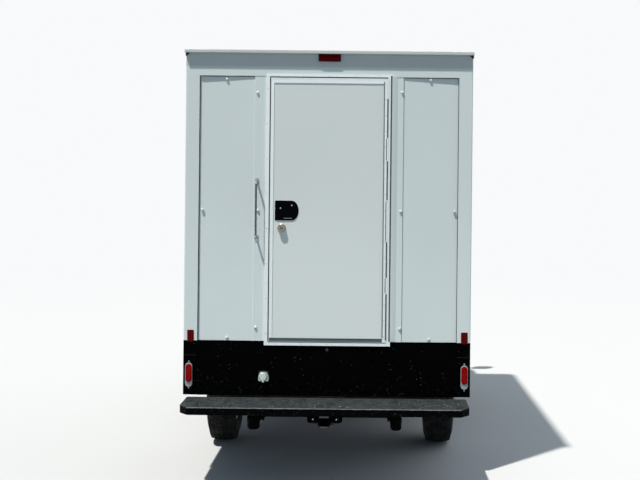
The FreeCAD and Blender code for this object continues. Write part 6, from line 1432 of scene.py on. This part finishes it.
def make_dashboard_fittings():
    """Instrument hood, dials, vents, radio panel, knobs and the glove box lid."""
    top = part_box("dashboard")[1].z
    face = sure_hit((0.3, 0.9, top - 0.1), Y, "dashboard")[0].y
    hood, dark, ring, marks, alloy = (bmesh.new() for _ in range(5))
    dials_x = -0.43
    arch = [(-0.185, 0.0), (0.185, 0.0), (0.178, 0.06), (0.15, 0.088), (-0.15, 0.088), (-0.178, 0.06)]
    inner = [(a * 0.9, b * 0.86 + 0.004) for a, b in arch]
    place = rear_place(dials_x, top - 0.095, face + 0.06)
    rows = [[hood.verts.new(place @ Vector((a, b + 0.02, depth))) for a, b in points]
            for points, depth in ((arch, -0.02), (arch, 0.115), (inner, 0.115), (inner, 0.03))]
    bridge(hood, *rows)
    hood.faces.new(rows[-1])
    for dx, radius, ticks in ((-0.075, 0.036, 17), (0.035, 0.036, 15), (0.108, 0.019, 7), (-0.132, 0.015, 7)):
        add_dial(dark, ring, marks, Vector((dials_x + dx, face + 0.06 - 0.0305, top - 0.032)), radius, ticks)
    add_pads(dark, rear_place(0.02, top - 0.09, face), (0.105, 0.026, 0.004, -0.001, 0.006, 3))
    for i in range(6):
        key = rear_place(-0.04 + i * 0.024, top - 0.104, face)
        add_box(marks, (-0.0095, -0.004, 0.0055), (0.0095, 0.004, 0.0075), key)
    for x in (-0.062, 0.102):
        spot = (x, face - 0.004, top - 0.086)
        add_lathe(alloy, [(0.011, 0.0), (0.0105, 0.014), (0.008, 0.017), (0, 0.017)], spot, -Y, 20)
    for x in (-0.035, 0.02, 0.075):
        spot = (x, face, top - 0.15)
        add_lathe(dark, [(0.019, -0.001), (0.018, 0.012), (0.015, 0.015), (0, 0.015)], spot, -Y)
        add_box(alloy, (-0.0008, 0.004, 0.0145), (0.0008, 0.013, 0.0158), rear_place(x, top - 0.15, face))
    for x, half in ((-0.735, 0.055), (-0.115, 0.05), (0.175, 0.05), (0.735, 0.055)):
        place = rear_place(x, top - 0.05, face)
        add_pads(dark, place, (half, 0.026, 0.008, -0.001, 0.003, 4))
        for i in range(5):
            low = -0.0175 + i * 0.0085
            add_box(hood, (-half + 0.006, low, 0.002), (half - 0.006, low + 0.0015, 0.008), place)
    lid = rear_place(0.455, top - 0.135, face)
    add_pads(hood, lid, (0.19, 0.052, 0.012, -0.001, 0.006, 4))
    add_pads(dark, lid, (0.03, 0.007, 0.005, 0.005, 0.01, 4, (0, 0.036)))
    finish_piece("instrument_hood", hood, "dash", bevel=0.002)
    finish_piece("dash_panels", dark, "gloss", smooth=35)
    finish_piece("dial_rings", ring, "bright", smooth=40)
    finish_piece("dial_marks", marks, "dots")
    finish_piece("dash_knobs", alloy, "alloy", smooth=35)


def make_pedals_and_lever():
    bm, rod = bmesh.new(), bmesh.new()
    wall = sure_hit((-0.43, 0.8, 0.95), Y, "cab_floor")[0].y
    for x, width, z in ((-0.5, 0.085, 0.815), (-0.33, 0.05, 0.79)):
        add_box(bm, (x - width / 2, wall - 0.155, z - 0.035), (x + width / 2, wall - 0.135, z + 0.035))
        arm = [(x, wall - 0.135, z), (x, wall - 0.1, z + 0.06), (x, wall - 0.005, z + 0.2)]
        add_tube(rod, arc(arm, 0.04), 0.008, 8)
    lo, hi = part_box("steering_wheel")
    start = Vector(((lo.x + hi.x) / 2 + 0.035, (lo.y + hi.y) / 2 + 0.1, (lo.z + hi.z) / 2 - 0.06))
    knob = start + Vector((0.19, -0.04, 0.09))
    add_tube(rod, arc([start, start + Vector((0.1, -0.01, 0.05)), knob], 0.03), 0.006, 8)
    add_lathe(bm, [(0.004, -0.012), (0.013, -0.004), (0.015, 0.008), (0.011, 0.02), (0, 0.024)],
              knob, (0.8, -0.2, 0.35), 14)
    finish_piece("pedal_pads", bm, "seal", bevel=0.003)
    finish_piece("pedal_arms", rod, "frame", smooth=40)


def make_door_trim():
    """Inner trim of the cab doors: panel, armrest, handle, speaker and window switch."""
    for side, sign in SIDES:
        door = "cab_door_" + side
        turn = side_place(-sign, sure_hit((0, 1.05, 1.05), sign * X, door)[0].x)
        panel, dark = bmesh.new(), bmesh.new()
        add_pads(panel, turn, (0.385, 0.3, 0.05, -0.001, 0.006, 5, (1.07, 0.9)),
                 (0.26, 0.03, 0.028, 0.004, 0.058, 5, (1.04, 1.01)),
                 (0.2, 0.055, 0.04, 0.004, 0.03, 5, (1.13, 0.69)))
        add_pads(dark, turn, (0.05, 0.016, 0.01, 0.005, 0.009, 4, (1.24, 1.118)),
                 (0.034, 0.007, 0.006, 0.008, 0.022, 4, (1.244, 1.118)),
                 (0.05, 0.014, 0.006, 0.056, 0.061, 4, (1.17, 1.02)))
        add_lathe(dark, [(0.072, 0.0), (0.072, 0.006), (0.064, 0.01), (0, 0.008)],
                  turn @ Vector((1.3, 0.8, 0.005)), (-sign, 0, 0), 28)
        for ring in range(1, 5):
            for a in circle(ring * 7):
                spot = Vector((1.3 + 0.0135 * ring * math.cos(a), 0.8 + 0.0135 * ring * math.sin(a), 0.0135))
                add_dome(dark, turn @ spot, (-sign, 0, 0), 0.003, 0.0012, 6)
        finish_piece("door_trim_" + side, panel, "trim", body=door, bevel=0.004)
        finish_piece("door_controls_" + side, dark, "plastic", body=door, bevel=0.0012)


def make_sun_visors():
    """Sun visors below the windscreen's head."""
    bm = bmesh.new()
    for _, sign in SIDES:
        top = sure_hit((sign * 0.42, 0.95, 1.4), Z, "cab_shell")[0].z
        tilt = Matrix.Translation((sign * 0.42, 1.0, top - 0.03)) @ Matrix.Rotation(math.radians(-16), 4, "X")
        add_pads(bm, tilt, (0.2, 0.075, 0.02, -0.008, 0.008, 5))
    finish_piece("sun_visors", bm, "trim", bevel=0.004)


def make_engine_bay():
    """Air cleaner, valve covers, coolant bottle, hoses and pulleys round the engine block."""
    lo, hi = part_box("engine")
    rad_lo, rad_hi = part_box("radiator")
    top = hi.z
    dark, pale, metal_parts, hoses = (bmesh.new() for _ in range(4))
    cy = FRONT_AXLE_Y - 0.02
    add_lathe(dark, [(0.15, 0.0), (0.16, 0.01), (0.16, 0.05), (0.15, 0.06), (0.05, 0.064), (0.02, 0.074),
                     (0, 0.074)], (0.02, cy, top - 0.002), Z, 32)
    duct = [(0.16, cy + 0.03, top + 0.03), (0.3, cy + 0.12, top + 0.026), (0.36, cy + 0.3, top - 0.02)]
    add_tube(dark, arc(duct, 0.08), 0.034, 14)
    for x in (-0.21, 0.21):
        add_pads(dark, None, (0.055, 0.26, 0.03, top - 0.002, top + 0.028, 4, (x, FRONT_AXLE_Y - 0.05)))
        for i in range(4):
            add_hex(metal_parts, (x, FRONT_AXLE_Y - 0.23 + i * 0.12, top + 0.028), Z, 0.008, 0.008)
    add_pads(pale, None, (0.055, 0.075, 0.02, top - 0.16, top - 0.01, 4, (-0.42, rad_lo.y - 0.14)))
    add_lathe(dark, [(0.026, 0), (0.026, 0.018), (0.02, 0.022), (0, 0.022)],
              (-0.42, rad_lo.y - 0.14, top - 0.011), Z, 18)
    for radius, x, drop in ((0.075, 0.0, 0.34), (0.05, 0.13, 0.13), (0.038, -0.14, 0.17)):
        groove = [(radius, 0), (radius, 0.008), (radius - 0.008, 0.014), (radius, 0.02), (radius, 0.028)]
        add_lathe(metal_parts, groove + [(radius * 0.6, 0.026), (0, 0.026)], (x, hi.y - 0.001, hi.z - drop),
                  Y, 28)
    for radius, *path in (
            (0.02, (0.22, hi.y - 0.04, top + 0.01), (0.24, hi.y + 0.05, top + 0.03),
             (0.2, rad_lo.y + 0.004, rad_hi.z - 0.07)),
            (0.019, (-0.2, hi.y - 0.002, lo.z + 0.12), (-0.24, hi.y + 0.06, lo.z + 0.1),
             (-0.22, rad_lo.y + 0.004, rad_lo.z + 0.08))):
        add_tube(hoses, arc(path, 0.06), radius, 12)
    finish_piece("engine_covers", dark, "plastic", smooth=35, bevel=0.003)
    finish_piece("coolant_bottle", pale, "clear", bevel=0.004)
    finish_piece("engine_pulleys", metal_parts, "cast", smooth=35)
    finish_piece("coolant_hoses", hoses, "seal", smooth=40)


def make_dampers():
    """Dampers between the axles and the frame, with their rubber eyes."""
    bm, eyes = bmesh.new(), bmesh.new()
    for _, sign in SIDES:
        for y, low_z, high_z, lean, x in ((FRONT_AXLE_Y - 0.085, 0.36, 0.6, -0.06, 0.52),
                                          (REAR_AXLE_Y + 0.11, 0.4, 0.7, 0.1, 0.34)):
            a, b = Vector((sign * x, y, low_z)), Vector((sign * (x - 0.02), y + lean, high_z))
            middle = a.lerp(b, 0.55)
            add_tube(bm, [a, middle], 0.026, 16)
            add_tube(bm, [middle - (b - a) * 0.02, b], 0.021, 16)
            for end in (a, b):
                add_tube(eyes, [end - X * 0.022, end + X * 0.022], 0.02, 14)
    finish_piece("dampers", bm, "frame", smooth=40)
    finish_piece("damper_eyes", eyes, "seal", smooth=40)


def make_deck_screws():
    """Screw heads in rows on the deck of the load space."""
    bm = bmesh.new()
    lo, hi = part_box("box_floor")
    for k in range(9):
        for i in range(9):
            spot = (-0.88 + i * 0.22, lo.y + 0.08 + k * (hi.y - lo.y - 0.16) / 8, hi.z + 0.2)
            found = hit(spot, -Z, "box_floor")
            if found:
                add_dome(bm, found[0], Z, 0.006, 0.0015, 8)
    finish_piece("deck_screws", bm, "screw", smooth=35)


make_stage()
make_lights()
make_camera()
dress_nodes()
make_rear_panels()
make_panel_bolts()
make_roof_trim()
make_tape()
make_tail_lamps()
make_stop_lamp()
make_door_fittings()
make_latch()
make_door_gaskets()
make_bracket_bumpers()
make_hitch_details()
make_step_tread()
make_wall_rivets()
for end in ENDS:
    for side, sign in SIDES:
        make_tyre(end, side, sign)
make_glazing_seals()
make_door_handles()
make_mirror_faces()
make_wipers()
make_headlamp_insides()
make_markers()
make_seats()
make_dashboard_fittings()
make_pedals_and_lever()
make_door_trim()
make_sun_visors()
make_engine_bay()
make_dampers()
make_deck_screws()

scene = bpy.context.scene
scene.view_settings.view_transform = "Standard"
